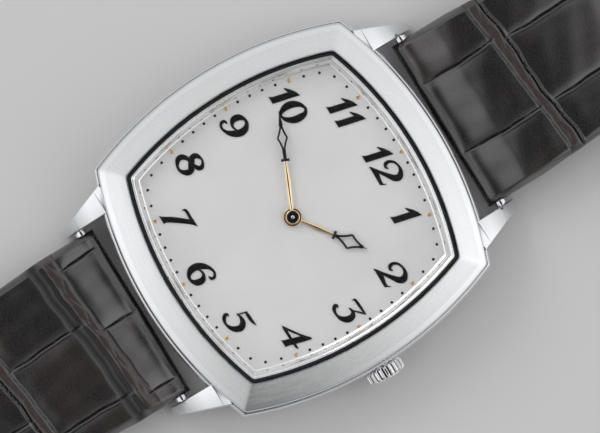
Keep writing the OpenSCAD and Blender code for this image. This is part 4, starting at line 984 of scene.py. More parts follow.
@dataclass
class CaseBand:
    """Case middle without its lugs: a polished band with soft edges, bored for the crown's tube."""

    half: float = 20.5
    low: float = 1.2
    high: float = 6.45
    foot_edge: float = 0.4
    top_edge: float = 0.35
    bore: float = 15.2
    ledge: float = 5.6
    seat: float = 15.45
    opening: float = 16.7
    tube: float = 1.0
    plan: Cushion = Cushion()

    def build(self) -> None:
        """Sweep the band's closed profile round the cushion and bore the tube's hole."""
        inset = self.half - self.foot_edge
        side = fillet([(inset, self.low), (self.half, self.low + self.foot_edge),
                       (self.half, self.high - self.top_edge), (inset, self.high)], [0.0, 0.3, 0.3, 0.1])
        inside = np.array([(self.opening, self.high), (self.opening, FACE_Z), (self.seat, FACE_Z),
                           (self.seat, self.ledge), (self.bore, self.ledge), (self.bore, self.low)])
        profile = np.concatenate([side, inside])
        circle = np.zeros(len(profile), bool)
        circle[-2:] = True
        band = skin("case_band", self.plan.rings(profile, circle), [MIRROR], ring=True)
        carve(band, [rod("tube_bore", (14, 0, STEM_Z), (22, 0, STEM_Z), self.tube, 64)])
        settle(band, "case", "polished_steel", "case_middle")


@dataclass
class Lugs:
    """Four polished lugs that fall in an arc from the bezel to their faceted tips.

    side_line gives x of the outer side and low_line the height of the underside, each along y. least is how
    thick a lug is at the least.
    """

    inner: float = 11.8
    root: float = 17.0
    reach: float = 24.1
    arc_y: float = 14.5
    arc_z: float = -3.662
    arc_r: float = 10.9
    edge: float = 0.2
    side_line: tuple[tuple[float, float], ...] = ((17.3, 15.3), (23.85, 13.0), (24.1, 12.75))
    low_line: tuple[tuple[float, float], ...] = ((17.0, 1.2), (23.7, 0.45), (24.1, 0.75))
    least: float = 0.5
    rows: int = 150
    corner_steps: int = 6
    case_half: float = 20.11
    case_top: float = 6.42
    plan: Cushion = Cushion()

    def one(self) -> Array:
        """Sections of the lug at +X and +Y.

        Each section is a rectangle with rounded corners. Its outer side tapers to the tip and its top
        follows an arc. Near the tip its side and underside lean in as a facet.

        Returns:
            Rows by columns of points.
        """
        y = self.root + (self.reach - self.root) * np.linspace(0, 1, self.rows)
        outer = np.interp(y, *zip(*self.side_line))
        top = self.arc_z + np.sqrt(self.arc_r ** 2 - (y - self.arc_y) ** 2)
        low = np.interp(y, *zip(*self.low_line))
        top = np.maximum(top, low + self.least)
        corner = np.linspace(0, np.pi / 2, self.corner_steps)
        turn = np.concatenate([corner + k * np.pi / 2 for k in range(4)])
        sx = np.repeat([1, -1, -1, 1], self.corner_steps)
        sz = np.repeat([1, 1, -1, -1], self.corner_steps)
        hx, hz = (outer - self.inner)[:, None] / 2, (top - low)[:, None] / 2
        r = np.minimum(self.edge, np.minimum(hx, hz) * 0.8)
        x = (self.inner + outer)[:, None] / 2 + sx * (hx - r) + r * np.cos(turn)
        z = (top + low)[:, None] / 2 + sz * (hz - r) + r * np.sin(turn)
        return np.stack([x, np.broadcast_to(y[:, None], x.shape), z], axis=-1)

    def build(self) -> None:
        """Mirror the lug into the four corners, held under the bezel where it runs inside its edge."""
        lug = self.one()
        inside = self.plan.half_at(lug[..., 0], lug[..., 1]) < self.case_half
        lug[..., 2] = np.where(inside, np.minimum(lug[..., 2], self.case_top), lug[..., 2])
        shell = Shell()
        for sx in (1, -1):
            for sy in (1, -1):
                shell.patch(capped(lug * np.array([sx, sy, 1])))
        settle(shell.build("lugs", [MIRROR], 28.0), "case", "polished_steel")


@dataclass
class Bezel:
    """Bezel with satin slopes that meet in soft mitres, a polished outer edge and a polished lip."""

    half: float = 20.05
    opening: float = 16.7
    foot: float = 6.45
    lip: float = 8.2
    bulge: float = 0.1
    edge: tuple[tuple[float, float], ...] = ((0.0, 6.6), (0.0, 6.98), (0.3, 7.13), (0.85, 7.32))
    plan: Cushion = Cushion(soft=0.12, quarter=96)

    def profile(self) -> tuple[Array, Array]:
        """Closed profile of the bezel and the finish of each of its rows.

        The outer edge is a cubic curve from the wall to the slope, by its four insets and heights. The slope
        is a straight line raised by 4 bulge t (1 - t), and the lip is rounded.

        Returns:
            Half width and height of each row, and zone numbers: 0 satin, 1 polished.
        """
        t = np.linspace(0, 1, 9)[:, None]
        bend = [np.array((self.half - inset, height)) for inset, height in self.edge]
        outer = sum(c * t ** k * (1 - t) ** (3 - k) * b for k, (c, b) in enumerate(zip((1, 3, 3, 1), bend)))
        s = np.linspace(0, 1, 22)[1:, None]
        start, end = bend[3], np.array((self.opening + 0.16, self.lip + 0.02))
        slope = start + (end - start) * s + np.array((0.0, 4 * self.bulge)) * s * (1 - s)
        lip = np.array([(self.opening + 0.07, self.lip + 0.015), (self.opening + 0.01, self.lip - 0.05),
                        (self.opening, self.lip - 0.14), (self.opening, self.foot)])
        rows = np.concatenate([[(self.half, self.foot)], outer, slope, lip])
        zone = np.ones(len(rows), int)
        zone[len(outer):len(outer) + len(slope) + 1] = 0
        return rows, zone

    def build(self) -> None:
        """Sweep the profile round the cushion, with each row's half width kept for the satin lines."""
        rows, zone = self.profile()
        ring = skin("bezel_ring", self.plan.rings(rows), [SATIN, MIRROR], 40.0, True, zone,
                    across=rows[:, :1] * MM)
        settle(ring, "case", "satin_steel", "bezel")


@dataclass
class Crystal:
    """Flat sapphire with a broken edge, and the dark gasket round it."""

    half: float = 16.28
    low: float = 7.2
    high: float = 8.25
    middle: float = 8.0
    gasket_half: float = 16.68
    gasket_high: float = 7.85
    play: float = 0.01
    plan: Cushion = Cushion()

    def glass(self) -> None:
        """Rings from the centre of the underside, round the edge, to the centre of the top."""
        rows = np.array([(0.0, self.low), (self.middle, self.low), (self.half - 0.08, self.low),
                         (self.half, self.low + 0.08), (self.half, self.high - 0.2),
                         (self.half - 0.05, self.high - 0.09), (self.half - 0.2, self.high),
                         (self.middle, self.high), (0.0, self.high)])
        rings = self.plan.rings(np.maximum(rows, 1e-3))
        rings[0, :, :2] = rings[-1, :, :2] = 0.0
        settle(skin("crystal_glass", rings, [SAPPHIRE], 20.0), "case", "crystal", "crystal")

    def gasket(self) -> None:
        """Sweep the gasket's closed profile, with a rounded top, round the cushion."""
        inner = self.half + self.play
        rows = fillet([(inner, self.low), (self.gasket_half, self.low), (self.gasket_half, self.gasket_high),
                       (inner, self.gasket_high)], [0.0, 0.0, 0.15, 0.15])
        ring = skin("gasket_ring", self.plan.rings(rows), [RUBBER], ring=True)
        settle(ring, "case", "gasket", "crystal_gasket")


@dataclass
class FlangeRing:
    """Bright sloping ring between the dial and the crystal, drawn as half widths and heights."""

    profile: tuple[tuple[float, float], ...] = (
        (15.28, FACE_Z), (15.29, 6.09), (15.32, 6.16), (15.38, 6.19), (15.46, 6.22), (15.5, 6.25),
        (15.53, 6.31), (15.74, 6.68), (15.87, 6.85), (16.05, 6.98), (16.3, 7.12), (16.42, 7.17), (16.5, 7.2),
        (16.66, 7.2), (16.68, 7.16), (16.68, FACE_Z))
    plan: Cushion = Cushion()

    def build(self) -> None:
        """Sweep the closed profile, with a low bead at its foot and a shallow brow, round the cushion."""
        rows = np.array(self.profile)
        ring = skin("flange_slope", self.plan.rings(rows), [BRIGHT], 40.0, True, across=rows[:, :1] * MM)
        settle(ring, "case", "polished_steel", "flange_ring")


@dataclass
class MinuteTrack:
    """Black minute dots and domed gold hour pips on a cushion-shaped line."""

    half: float = 15.05
    back: float = 17.85
    dot: float = 0.17
    dot_height: float = 0.05
    pip: float = 0.29
    pip_height: float = 0.12
    dome_sides: int = 20

    def places(self, degrees: Array) -> Array:
        """Points of the track, by the same rule as the cushion's sides.

        Args:
            degrees: Angles from 12 o'clock.

        Returns:
            One point a row, at no height.
        """
        a = np.radians(degrees)
        off = a - np.pi / 2 * np.round(a / (np.pi / 2))
        size = self.half + self.back
        reach = np.sqrt(size ** 2 - (self.back * np.sin(off)) ** 2) - self.back * np.cos(off)
        return np.stack([reach * np.sin(a), reach * np.cos(a), np.zeros(len(a))], axis=-1)

    def domes(self, degrees: Array, radius: float, height: float, name: str, finish: Finish) -> Piece:
        """Round domes at the track's places.

        A dome stands straight for three tenths of its height and is rounded from there to its top.

        Args:
            degrees: Angles from 12 o'clock.
            radius: Radius of each dome.
            height: Height of each dome.
            name: The piece's name.
            finish: Its finish.

        Returns:
            The piece.
        """
        share = np.array([0.0, 1.0, 1.0, 0.92, 0.72, 0.4, 0.0])
        lift = np.array([0.0, 0.0, 0.3, 0.55, 0.8, 0.96, 1.0])
        dome = revolved(radius * share, FACE_Z + height * lift, self.dome_sides)
        shell = Shell()
        for place in self.places(degrees):
            shell.patch(dome + place)
        return shell.build(name, [finish], 60.0)

    def build(self) -> None:
        """Make the dots and the pips."""
        minute = np.arange(60)
        dots = self.domes(6.0 * minute[minute % 5 != 0], self.dot, self.dot_height, "track_dots", BLACK)
        settle(dots, "case", "black_paint", "minute_dots")
        pips = self.domes(30.0 * np.arange(12), self.pip, self.pip_height, "track_pips", ROSE_GOLD)
        settle(pips, "case", "rose_gold", "hour_pips")


class Cut(Enum):
    """How a stroke of a figure ends."""

    FLAT = "level"
    ROUND = "round"


Stroke = tuple[Cut, list[tuple[int, int, int]]]
ONE: list[Stroke] = [
    (Cut.FLAT, [(78, 170, 13), (52, 141, 50), (29, 107, 80), (19, 69, 80), (-4, -27, 82), (-25, -111, 82),
                (-36, -141, 88), (-44, -160, 101)]),
    (Cut.ROUND, [(-82, 50, 13), (-44, 74, 34), (-2, 103, 46), (44, 141, 34)])]
TWO: list[Stroke] = [
    (Cut.ROUND, [(-19, 27, 17), (-44, 10, 29), (-78, 32, 46), (-82, 78, 38), (-44, 128, 29), (27, 151, 29),
                 (94, 136, 55), (136, 86, 84), (116, 32, 76), (52, -19, 55), (-27, -76, 38),
                 (-103, -128, 29), (-141, -151, 17)]),
    (Cut.ROUND, [(-145, -151, 10), (-94, -132, 46), (-21, -126, 59), (52, -134, 46), (94, -136, 42)]),
    (Cut.ROUND, [(90, -139, 34), (116, -116, 17), (130, -86, 6)])]
THREE: list[Stroke] = [
    (Cut.ROUND, [(-67, 103, 8), (-52, 132, 29), (10, 139, 36), (94, 145, 29), (162, 153, 10)]),
    (Cut.ROUND, [(149, 145, 19), (94, 94, 21), (36, 36, 17)]),
    (Cut.ROUND, [(-2, 23, 17), (52, 36, 38), (99, 2, 71), (99, -61, 80), (52, -120, 55), (-15, -147, 29),
                 (-82, -139, 46), (-116, -107, 46), (-103, -84, 29), (-82, -92, 13)])]
FOUR: list[Stroke] = [
    (Cut.FLAT, [(145, 158, 25), (111, 103, 67), (82, 15, 80), (55, -69, 80), (36, -136, 84),
                (27, -160, 101)]),
    (Cut.ROUND, [(128, 136, 21), (32, 57, 25), (-63, -10, 27), (-132, -57, 29)]),
    (Cut.ROUND, [(-158, -63, 8), (-116, -57, 34), (-10, -55, 34), (94, -52, 32), (145, -48, 29),
                 (166, -36, 8)])]
FIVE: list[Stroke] = [
    (Cut.ROUND, [(-32, 124, 21), (21, 128, 42), (94, 132, 38), (158, 149, 10)]),
    (Cut.ROUND, [(-27, 136, 19), (-44, 82, 17), (-61, 27, 13)]),
    (Cut.ROUND, [(-69, 23, 13), (-15, 42, 34), (52, 32, 67), (94, -15, 80), (78, -78, 71), (27, -128, 46),
                 (-36, -149, 29), (-94, -136, 46), (-128, -103, 46), (-120, -74, 29), (-99, -76, 13)])]
SIX: list[Stroke] = [
    (Cut.ROUND, [(86, 63, 19), (116, 74, 34), (122, 111, 38), (78, 143, 29), (10, 128, 38), (-52, 74, 71),
                 (-94, -6, 88), (-90, -82, 80), (-44, -136, 46), (15, -141, 38), (69, -94, 76),
                 (78, -27, 76), (32, 19, 38), (-21, 17, 23), (-61, -10, 15)])]
SEVEN: list[Stroke] = [
    (Cut.ROUND, [(-90, 101, 8), (-78, 128, 29), (-42, 139, 38), (32, 136, 38), (86, 134, 38)]),
    (Cut.FLAT, [(111, 158, 122), (101, 136, 80), (67, 99, 76), (15, 36, 80), (-48, -48, 84),
                (-94, -118, 80), (-111, -149, 92), (-118, -168, 113)])]
EIGHT: list[Stroke] = [
    (Cut.ROUND, [(94, 128, 34), (42, 141, 27), (-23, 107, 63), (-27, 52, 71), (27, 10, 76), (90, -32, 76),
                 (90, -90, 71), (32, -145, 38), (-32, -145, 34), (-94, -101, 63), (-99, -48, 67),
                 (-52, -2, 50), (32, 19, 29), (107, 48, 55), (126, 90, 55), (94, 128, 34)])]
NINE: list[Stroke] = [(cut, [(-x, 4 - y, w) for x, y, w in points]) for cut, points in SIX]
ZERO: list[Stroke] = [
    (Cut.ROUND, [(116, 147, 27), (48, 111, 55), (-2, 36, 84), (-15, -48, 84), (10, -124, 50), (52, -151, 27),
                 (116, -116, 55), (166, -40, 84), (178, 48, 84), (162, 116, 50), (116, 147, 27)])]


@dataclass
class Numerals:
    """Hour figures in black relief, drawn as strokes of changing width in hundredths of a millimetre.

    hours gives each hour's digits and their shifts along x, and centres gives where it stands, in
    millimetres, both from 12 o'clock round to 11.
    """

    relief: float = 0.14
    step: float = 0.006
    sunk: float = 0.004
    figures: tuple[list[Stroke], ...] = (ZERO, ONE, TWO, THREE, FOUR, FIVE, SIX, SEVEN, EIGHT, NINE)
    hours: tuple[tuple[tuple[int, int], ...], ...] = (
        ((1, -151), (2, 63)), ((1, 0),), ((2, 0),), ((3, 0),), ((4, 0),), ((5, 0),), ((6, 0),), ((7, 0),),
        ((8, 0),), ((9, 0),), ((1, -130), (0, 0)), ((1, -95), (1, 95)))
    centres: tuple[tuple[float, float], ...] = (
        (0.5, 12.4), (6.9, 11.5), (11.7, 6.55), (12.7, -0.1), (11.9, -7.1), (7, -11.8), (0, -12.7),
        (-6.6, -11.7), (-11.9, -7), (-12.7, -0.25), (-11.4, 6.6), (-7.2, 11.8))

    def path(self, points: list[tuple[int, int, int]], steps: int = 8) -> Array:
        """Points along a stroke, on a smooth curve through its own points.

        Between b and c, with a before and d after them, a point is half of
        2b + (c - a) t + (2a - 5b + 4c - d) t squared + (3b - a - 3c + d) t cubed.

        Args:
            points: Places and widths, in hundredths of a millimetre.
            steps: Points on each span.

        Returns:
            x, y and width in millimetres, one point a row.
        """
        p = np.array(points, float) / 100
        p = np.concatenate([p[:1], p, p[-1:]])
        t = (np.arange(steps) / steps)[None, :, None]
        a, b, c, d = (p[k:len(p) - 3 + k][:, None, :] for k in range(4))
        square, cube = 2 * a - 5 * b + 4 * c - d, 3 * b - a - 3 * c + d
        curve = 0.5 * (2 * b + (c - a) * t + square * t ** 2 + cube * t ** 3)
        return np.concatenate([curve.reshape(-1, 3), p[-1:]])

    def half_circle(self, end: Array, along: Array, reach: Array) -> Array:
        """Points past a stroke's end, by shares of its radius, each as wide as the half circle is there."""
        places = end[:2] + along * end[2] / 2 * reach[:, None]
        return np.column_stack([places, end[2] * np.sqrt(1 - reach ** 2)])

    def ribbon(self, cut: Cut, points: list[tuple[int, int, int]]) -> Array:
        """Closed sections of a stroke: flat on top, with rounded shoulders.

        A round stroke is cut square to its line and its ends are half circles; a level one is cut along x.

        Args:
            cut: How the stroke ends.
            points: Places and widths, in hundredths of a millimetre.

        Returns:
            Rows by columns of points, with the height as a share of the relief.
        """
        line = self.path(points)
        along = np.gradient(line[:, :2], axis=0)
        along /= np.linalg.norm(along, axis=1, keepdims=True) + 1e-9
        if cut is Cut.FLAT:
            along = np.broadcast_to(np.array([0.0, -1.0]), along.shape)
        else:
            reach = np.array([0.0, 0.5, 0.85, 1.0])
            line = np.concatenate([self.half_circle(line[0], along[0], -reach[::-1]), line,
                                   self.half_circle(line[-1], along[-1], reach)])
            along = np.concatenate([along[:1].repeat(4, 0), along, along[-1:].repeat(4, 0)])
        u = np.array([-1.0, -1.0, -0.93, -0.8, 0.0, 0.8, 0.93, 1.0, 1.0])
        lift = np.array([0.0, 0.7, 0.93, 1.0, 1.02, 1.0, 0.93, 0.7, 0.0])
        half = line[:, 2:] / 2 * u
        x, y = line[:, :1] - half * along[:, 1:], line[:, 1:2] + half * along[:, :1]
        rows = np.stack([x, y, lift * np.clip(line[:, 2:] / 0.06, 0.0, 1.0)], axis=-1)
        return capped(rows) if cut is Cut.FLAT else rows

    def build(self) -> None:
        """Set every stroke of every figure at its hour, each a hair lower than the one before it."""
        shell = Shell()
        for digits, (x, y) in zip(self.hours, self.centres):
            for digit, shift in digits:
                for order, (cut, points) in enumerate(self.figures[digit]):
                    size = np.array([1.0, 1.0, self.relief - self.step * order])
                    shell.patch(self.ribbon(cut, points) * size + (x + shift / 100, y, FACE_Z - self.sunk))
        settle(shell.build("hour_figures", [BLACK], 50.0), "case", "black_paint", "dial_numerals")


@dataclass
class Hand:
    """A hand: leaf-shaped gold shaft with a ridge, black crossbar, pierced figure and spike, and a gold hub.

    Distances run from the centre; the crossbar is at `bar`, the pierced figure from `eye_from` to `eye_to`
    and the spike's point at `length`. turn is the hand's angle clockwise from 12 o'clock.
    """

    node: str
    length: float
    bar: float
    eye_from: float
    eye_to: float
    eye_half: float
    level: float
    turn: float
    hub_out: float
    hub_in: float
    wire: float = 0.26
    height: float = 0.16
    crest: float = 0.19
    bar_half: float = 0.5
    bar_more: float = 0.04

    def strip(self, centre: Array, half: Array, low: float, high: float) -> Array:
        """Closed sections of a strip with a rounded top along a plan curve.

        Args:
            centre: Points of the curve.
            half: Half widths along it.
            low: Height of its underside.
            high: Height of its top.

        Returns:
            Rows by columns of points, with a pole at each end.
        """
        along = np.gradient(centre, axis=0)
        along /= np.linalg.norm(along, axis=1, keepdims=True)
        u = np.array([-0.9, -1.0, -0.75, -0.3, 0.3, 0.75, 1.0, 0.9])
        lift = np.array([0.0, 0.35, 0.85, 1.0, 1.0, 0.85, 0.35, 0.0])
        side = half[:, None] * u
        x, y = centre[:, :1] - side * along[:, 1:], centre[:, 1:] + side * along[:, :1]
        z = np.broadcast_to(low + (high - low) * lift, x.shape)
        return capped(np.stack([x, y, z], axis=-1))

    def straight(self, y: Array, half: Array) -> Array:
        """Black strip along the hand's own line."""
        line = np.stack([np.zeros(len(y)), y], axis=-1)
        return self.strip(line, half, self.level, self.level + self.height)

    def shaft(self) -> Array:
        """Gold shaft: narrow, wide at two thirds, narrow at the bar, with a sharp ridge.

        Returns:
            Rows by columns of points.
        """
        y = np.linspace(self.hub_out - 0.08, self.bar, 60)
        places = [0.0, self.bar * 0.3, self.bar * 0.62, self.bar - 0.6, self.bar]
        half = np.interp(y, places, [0.15, 0.21, 0.29, 0.17, 0.14])
        u = np.array([-1, -1, -0.7, -0.35, -0.12, 0, 0.12, 0.35, 0.7, 1, 1])
        lift = np.array([0, 0.3, 0.4, 0.5, 0.68, 1, 0.68, 0.5, 0.4, 0.3, 0])
        x = half[:, None] * u
        z = np.broadcast_to(self.level + self.crest * lift, x.shape)
        return capped(np.stack([x, np.broadcast_to(y[:, None], x.shape), z], axis=-1))

    def ridge(self) -> Array:
        """Dark brown strip along the shaft's ridge, a painted dark reflection of the surroundings on its
        facets.

        Returns:
            Rows by columns of points.
        """
        y = np.linspace(self.hub_out + 0.1, self.bar - 0.1, 30)
        half = np.interp(y, [self.hub_out, self.bar * 0.6, self.bar], [0.035, 0.08, 0.035])
        return self.strip(np.stack([np.zeros(30), y], axis=-1), half, self.level + 0.1, self.level + 0.2)

    def crossbar(self) -> Array:
        """Strip across the shaft's end, with knobs at both ends, a little higher than the rest.

        Returns:
            Rows by columns of points.
        """
        x = np.linspace(-self.bar_half, self.bar_half, 17)
        knob = 0.15 + 0.06 * np.abs(x / self.bar_half) ** 3
        knob[[0, -1]] *= 0.6
        return self.strip(np.stack([x, np.full(17, self.bar)], axis=-1), knob, self.level,
                          self.level + self.height + self.bar_more)

    def wires(self, side: int) -> list[Array]:
        """One side of the pierced figure.

        It is two quadratic curves, from the neck out to the corner and from the corner in to the spike.

        Args:
            side: 1 or -1, for the side of the hand's line.

        Returns:
            Two closed strips.
        """
        t = np.linspace(0, 1, 14)[:, None]
        mid = (self.eye_from + self.eye_to) / 2
        foot = np.array([0.05 * side, self.eye_from])
        corner = np.array([(self.eye_half - self.wire / 2) * side, mid])
        tip = np.array([0.05 * side, self.eye_to])
        bow = np.array([0.3 * self.eye_half * side, 0.0])
        pull = [foot + bow + (0, 0.62 * (mid - self.eye_from)), tip + bow - (0, 0.62 * (self.eye_to - mid))]
        curves = [(1 - t) ** 2 * a + 2 * t * (1 - t) * b + t ** 2 * c
                  for a, b, c in ((foot, pull[0], corner), (corner, pull[1], tip))]
        half = np.full(14, self.wire / 2)
        return [self.strip(curve, half, self.level, self.level + self.height) for curve in curves]

    def openwork(self) -> list[Array]:
        """Black part of the hand: crossbar, neck, both sides of the pierced figure, and spike.

        Returns:
            Closed strips.
        """
        y = np.linspace(self.bar - 0.05, self.eye_from + 0.25, 10)
        neck = self.straight(y, np.linspace(0.19, 0.23, 10))
        y = np.linspace(self.eye_to - 0.4, self.length, 24)
        places = [self.eye_to - 0.4, self.eye_to + 0.05, self.length - 0.5, self.length]
        spike = self.straight(y, np.interp(y, places, [0.1, 0.25, 0.08, 0.02]))
        return [self.crossbar(), neck, *self.wires(-1), *self.wires(1), spike]

    def hub(self) -> Array:
        """Closed profile of the hub's ring, rounded on top, turned about the centre.

        Returns:
            Rows by columns of points.
        """
        mid, width = (self.hub_out + self.hub_in) / 2, (self.hub_out - self.hub_in) / 2
        a = np.linspace(0, np.pi, 13)
        radius = np.concatenate([[self.hub_out], mid + width * np.cos(a), [self.hub_in]])
        z = np.concatenate([[0.0], 0.08 + 0.12 * np.sin(a), [0.0]]) + self.level
        return revolved(radius, z, 72)

    def build(self) -> None:
        """Join shaft, openwork and hub in one piece at the hand's angle."""
        shell = Shell()
        shell.patch(turned(self.shaft(), -self.turn), zone=0)
        # The ridge strip is a painted dark reflection.
        shell.patch(turned(self.ridge(), -self.turn), zone=2)
        shell.patch(self.hub(), ring=True, zone=0)
        for strip in self.openwork():
            shell.patch(turned(strip, -self.turn), zone=1)
        piece = shell.build(self.node + "_dressed", [GOLD, BLACK, PAINTED_RIDGE_REFLECTION], 32.0)
        settle(piece, self.node, "yellow_gold", self.node)


@dataclass
class HubCap:
    """Black disc inside the minute hand's hub, bored for the centre pin."""

    outer: float = 0.7
    bore: float = 0.23
    low: float = 6.87
    high: float = 6.96
    fall: float = 0.02

    def build(self) -> None:
        """Turn a closed, softly domed profile about the centre."""
        rows = fillet([(self.bore, self.low), (self.outer, self.low), (self.outer, self.high - self.fall),
                       (self.bore, self.high)], [0, 0, 0.05, 0.04])
        cap = skin("hub_cap", revolved(rows[:, 0], rows[:, 1], 64), [BLACK], ring=True)
        settle(cap, "minute_hand", "black_paint")


@dataclass
class PinTip:
    """Bright domed end of the centre pin."""

    radius: float = 0.2
    level: float = 7.01
    dome: float = 0.05

    def build(self) -> None:
        """Turn a low dome, closed underneath, about the centre."""
        a = np.linspace(0, np.pi / 2, 8)
        reach = np.concatenate([[0.0], self.radius * np.cos(a)])
        z = np.concatenate([[self.level], self.level + self.dome * np.sin(a)])
        settle(skin("pin_tip", revolved(reach, z, 32), [MIRROR]), "centre_wheel", "polished_steel")


@dataclass
class Crown:
    """Fluted crown with rounded ridges and a shallow domed end, bored for its tube."""

    start: float = 20.65
    length: float = 1.5
    radius: float = 2.35
    end_inset: float = 0.3
    dome: float = 0.25
    bore: float = 1.1
    bore_end: float = 21.5
    flutes: int = 22
    flute_steps: int = 20
    depth: float = 0.3
    sharpness: float = 3.5

    def build(self) -> None:
        """Turn the profile about the stem, with the radius drawn in between the ridges.

        The draw is depth times (0.5 + 0.5 cos(flutes angle)) to the power of the sharpness, faded out at
        both ends. Faces that are drawn in by more than half the depth get a darker grey, painted shade in
        the valleys.
        """
        r, end, steps = self.radius, self.start + self.length, 6
        shoulder = fillet([(self.start, r - 0.24), (self.start + 0.2, r), (end - 0.22, r),
                           (end, r - self.end_inset)], [0.0, 0.16, 0.18, 0.05], steps)
        first, last = shoulder[steps], shoulder[steps + 1]
        wall = np.linspace(0, 1, 8)[:, None] * (last - first) + first
        a = np.linspace(0, np.pi / 2, 12)[1:]
        top = np.stack([end + self.dome * np.sin(a), (r - self.end_inset) * np.cos(a)], axis=-1)
        bore = np.array([(self.bore_end, 0.0), (self.bore_end, self.bore), (self.start, self.bore)])
        rows = np.concatenate([bore, shoulder[:steps + 1], wall[1:-1], shoulder[steps + 1:], top])
        x, radius = rows[:, :1], rows[:, 1:]
        angle = round_angles(self.flutes * self.flute_steps)
        fade = smoothstep(x, self.start, self.start + 0.14) * (1 - smoothstep(x, end - 0.2, end))
        fade *= smoothstep(radius, r - 0.5, r - 0.2)
        draw = fade * (self.depth * (0.5 + 0.5 * np.cos(self.flutes * angle)) ** self.sharpness)
        reach = radius - draw
        points = np.stack([np.broadcast_to(x, reach.shape), reach * np.cos(angle),
                           STEM_Z + reach * np.sin(angle)], axis=-1)
        # Faces deep in the flutes get the painted shade of the valleys.
        deep = (draw > 0.5 * self.depth)[:-1].astype(int)
        crown = skin("crown_dressed", points, [CROWN_STEEL, VALLEY_PAINTED_SHADE], 40.0, zone=deep)
        settle(crown, "stem", "polished_steel", "crown")


# The strap


class Side(Enum):
    """Which half of the strap, by the hour it leaves the case at."""

    TWELVE = 1
    SIX = -1


@dataclass(frozen=True)
class Fold:
    """A fold across the strap at place + slope x, with a thin crease behind it, or a soft valley."""

    place: float
    slope: float
    valley: bool = False


class ScaleRelief:
    """Relief of the scaled leather over places x across the strap and distances s along it.

    height is in millimetres, shade is the share of painted shade in the folds, creases and pressed lines,
    and band the share of band colour. swell is how far the surface rises between its lines and folds: the
    product of 1 - 0.9 exp(-(d / 1.3) squared) over the distances d to all of them.
    """

    line_width = 0.06
    line_depth = 0.12
    line_more = 0.14
    line_rim = 0.06
    trough = 0.08
    trough_width = 0.5
    band_half = 0.62
    band_height = 0.12
    dip_depth = 0.08
    fold_rim = 0.08
    rim_width = 0.13

    def __init__(self, x: Array, s: Array) -> None:
        """Start flat, and bend the places by low waves, so that no line runs dead straight.

        Args:
            x: Places across the strap.
            s: Distances along it.
        """
        self.x = x
        self.bent_x = x + 0.07 * np.sin(0.7 * s + 1.3) + 0.03 * np.sin(1.9 * s + 0.5 * x)
        self.bent_s = s + 0.1 * np.sin(0.5 * x + 0.7) + 0.04 * np.sin(1.6 * x + 0.3 * s)
        self.height, self.shade, self.band = (np.zeros_like(x) for _ in range(3))
        self.swell = np.ones_like(x)

    def press(self, start: tuple[float, float], end: tuple[float, float], wide: float) -> None:
        """Press in a line between two scales.

        It goes in by depth exp(-(d / width) squared) of the distance d to it, deepest and widest half way
        along, in a shallow trough and with a low rim on one side.

        Args:
            start: Place across and distance along at its start.
            end: The same at its end.
            wide: How much wider it is half way along.
        """
        run = (end[0] - start[0], end[1] - start[1])
        off_x, off_s = self.bent_x - start[0], self.bent_s - start[1]
        t = np.clip((off_x * run[0] + off_s * run[1]) / (run[0] ** 2 + run[1] ** 2), 0, 1)
        side = (off_x - t * run[0]) * run[1] / math.hypot(*run)
        d = np.hypot(off_x - t * run[0], off_s - t * run[1])
        swollen = np.sin(np.pi * np.clip(t, 0.04, 0.96)) ** 0.6
        line = np.exp(-(d / (self.line_width + wide * swollen)) ** 2)
        rim = np.exp(-((side - 0.3) / 0.12) ** 2) * (d < 1.0) * swollen
        pressed = (self.line_depth + self.line_more * swollen) * line
        self.height += self.line_rim * rim - pressed - self.trough * np.exp(-(d / self.trough_width) ** 2)
        # Painted shade in the pressed line.
        self.shade = np.maximum(self.shade, line * (0.5 + 0.5 * swollen))
        self.calm(d)

    def fold(self, fold: Fold) -> None:
        """Raise a flat wrinkled band, with a dip before it and a crease and a rim behind it.

        A valley fold has a broad soft hollow behind its band instead, with a wide painted shade and no rim.
        The crease, and half as much the dip, are darkened with painted shade as well.

        Args:
            fold: The fold.
        """
        x = self.x
        d = self.bent_s - fold.place - fold.slope * x
        reach = self.band_half + 0.1 * np.sin(0.35 * x + fold.place) + 0.03 * np.sin(1.7 * x)
        flat = np.exp(-(d / reach) ** 6)
        behind, width, depth = (1.3, 0.42, 0.3) if fold.valley else (0.14, 0.08, 0.28)
        crease = np.exp(-((d - reach - behind) / width) ** 2)
        rim = np.exp(-((d - reach - behind - 0.26) / self.rim_width) ** 2) * (0.0 if fold.valley else 1.0)
        dip = np.exp(-((d + reach + 0.12) / self.rim_width) ** 2)
        wrinkle = (0.022 * np.sin(8 * d + 2 * np.sin(1.3 * x)) + 0.008 * np.sin(4.1 * x + 11 * d)) * flat
        raised = self.band_height * flat + self.fold_rim * rim + wrinkle
        self.height += raised - depth * crease - self.dip_depth * dip
        # Painted shade over the crease or the valley's hollow, and half as much in the dip.
        dark = 0.85 * np.exp(-((d - reach - behind) / 0.8) ** 2) if fold.valley else crease
        self.shade = np.maximum(self.shade, np.maximum(dark, 0.5 * dip))
        self.band = np.maximum(self.band, flat)
        self.calm(np.maximum(np.abs(d) - 0.6, 0))

    def calm(self, d: Array) -> None:
        """Let the swell die away at the distance d to a line or fold."""
        self.swell *= 1 - 0.9 * np.exp(-(d / 1.3) ** 2)


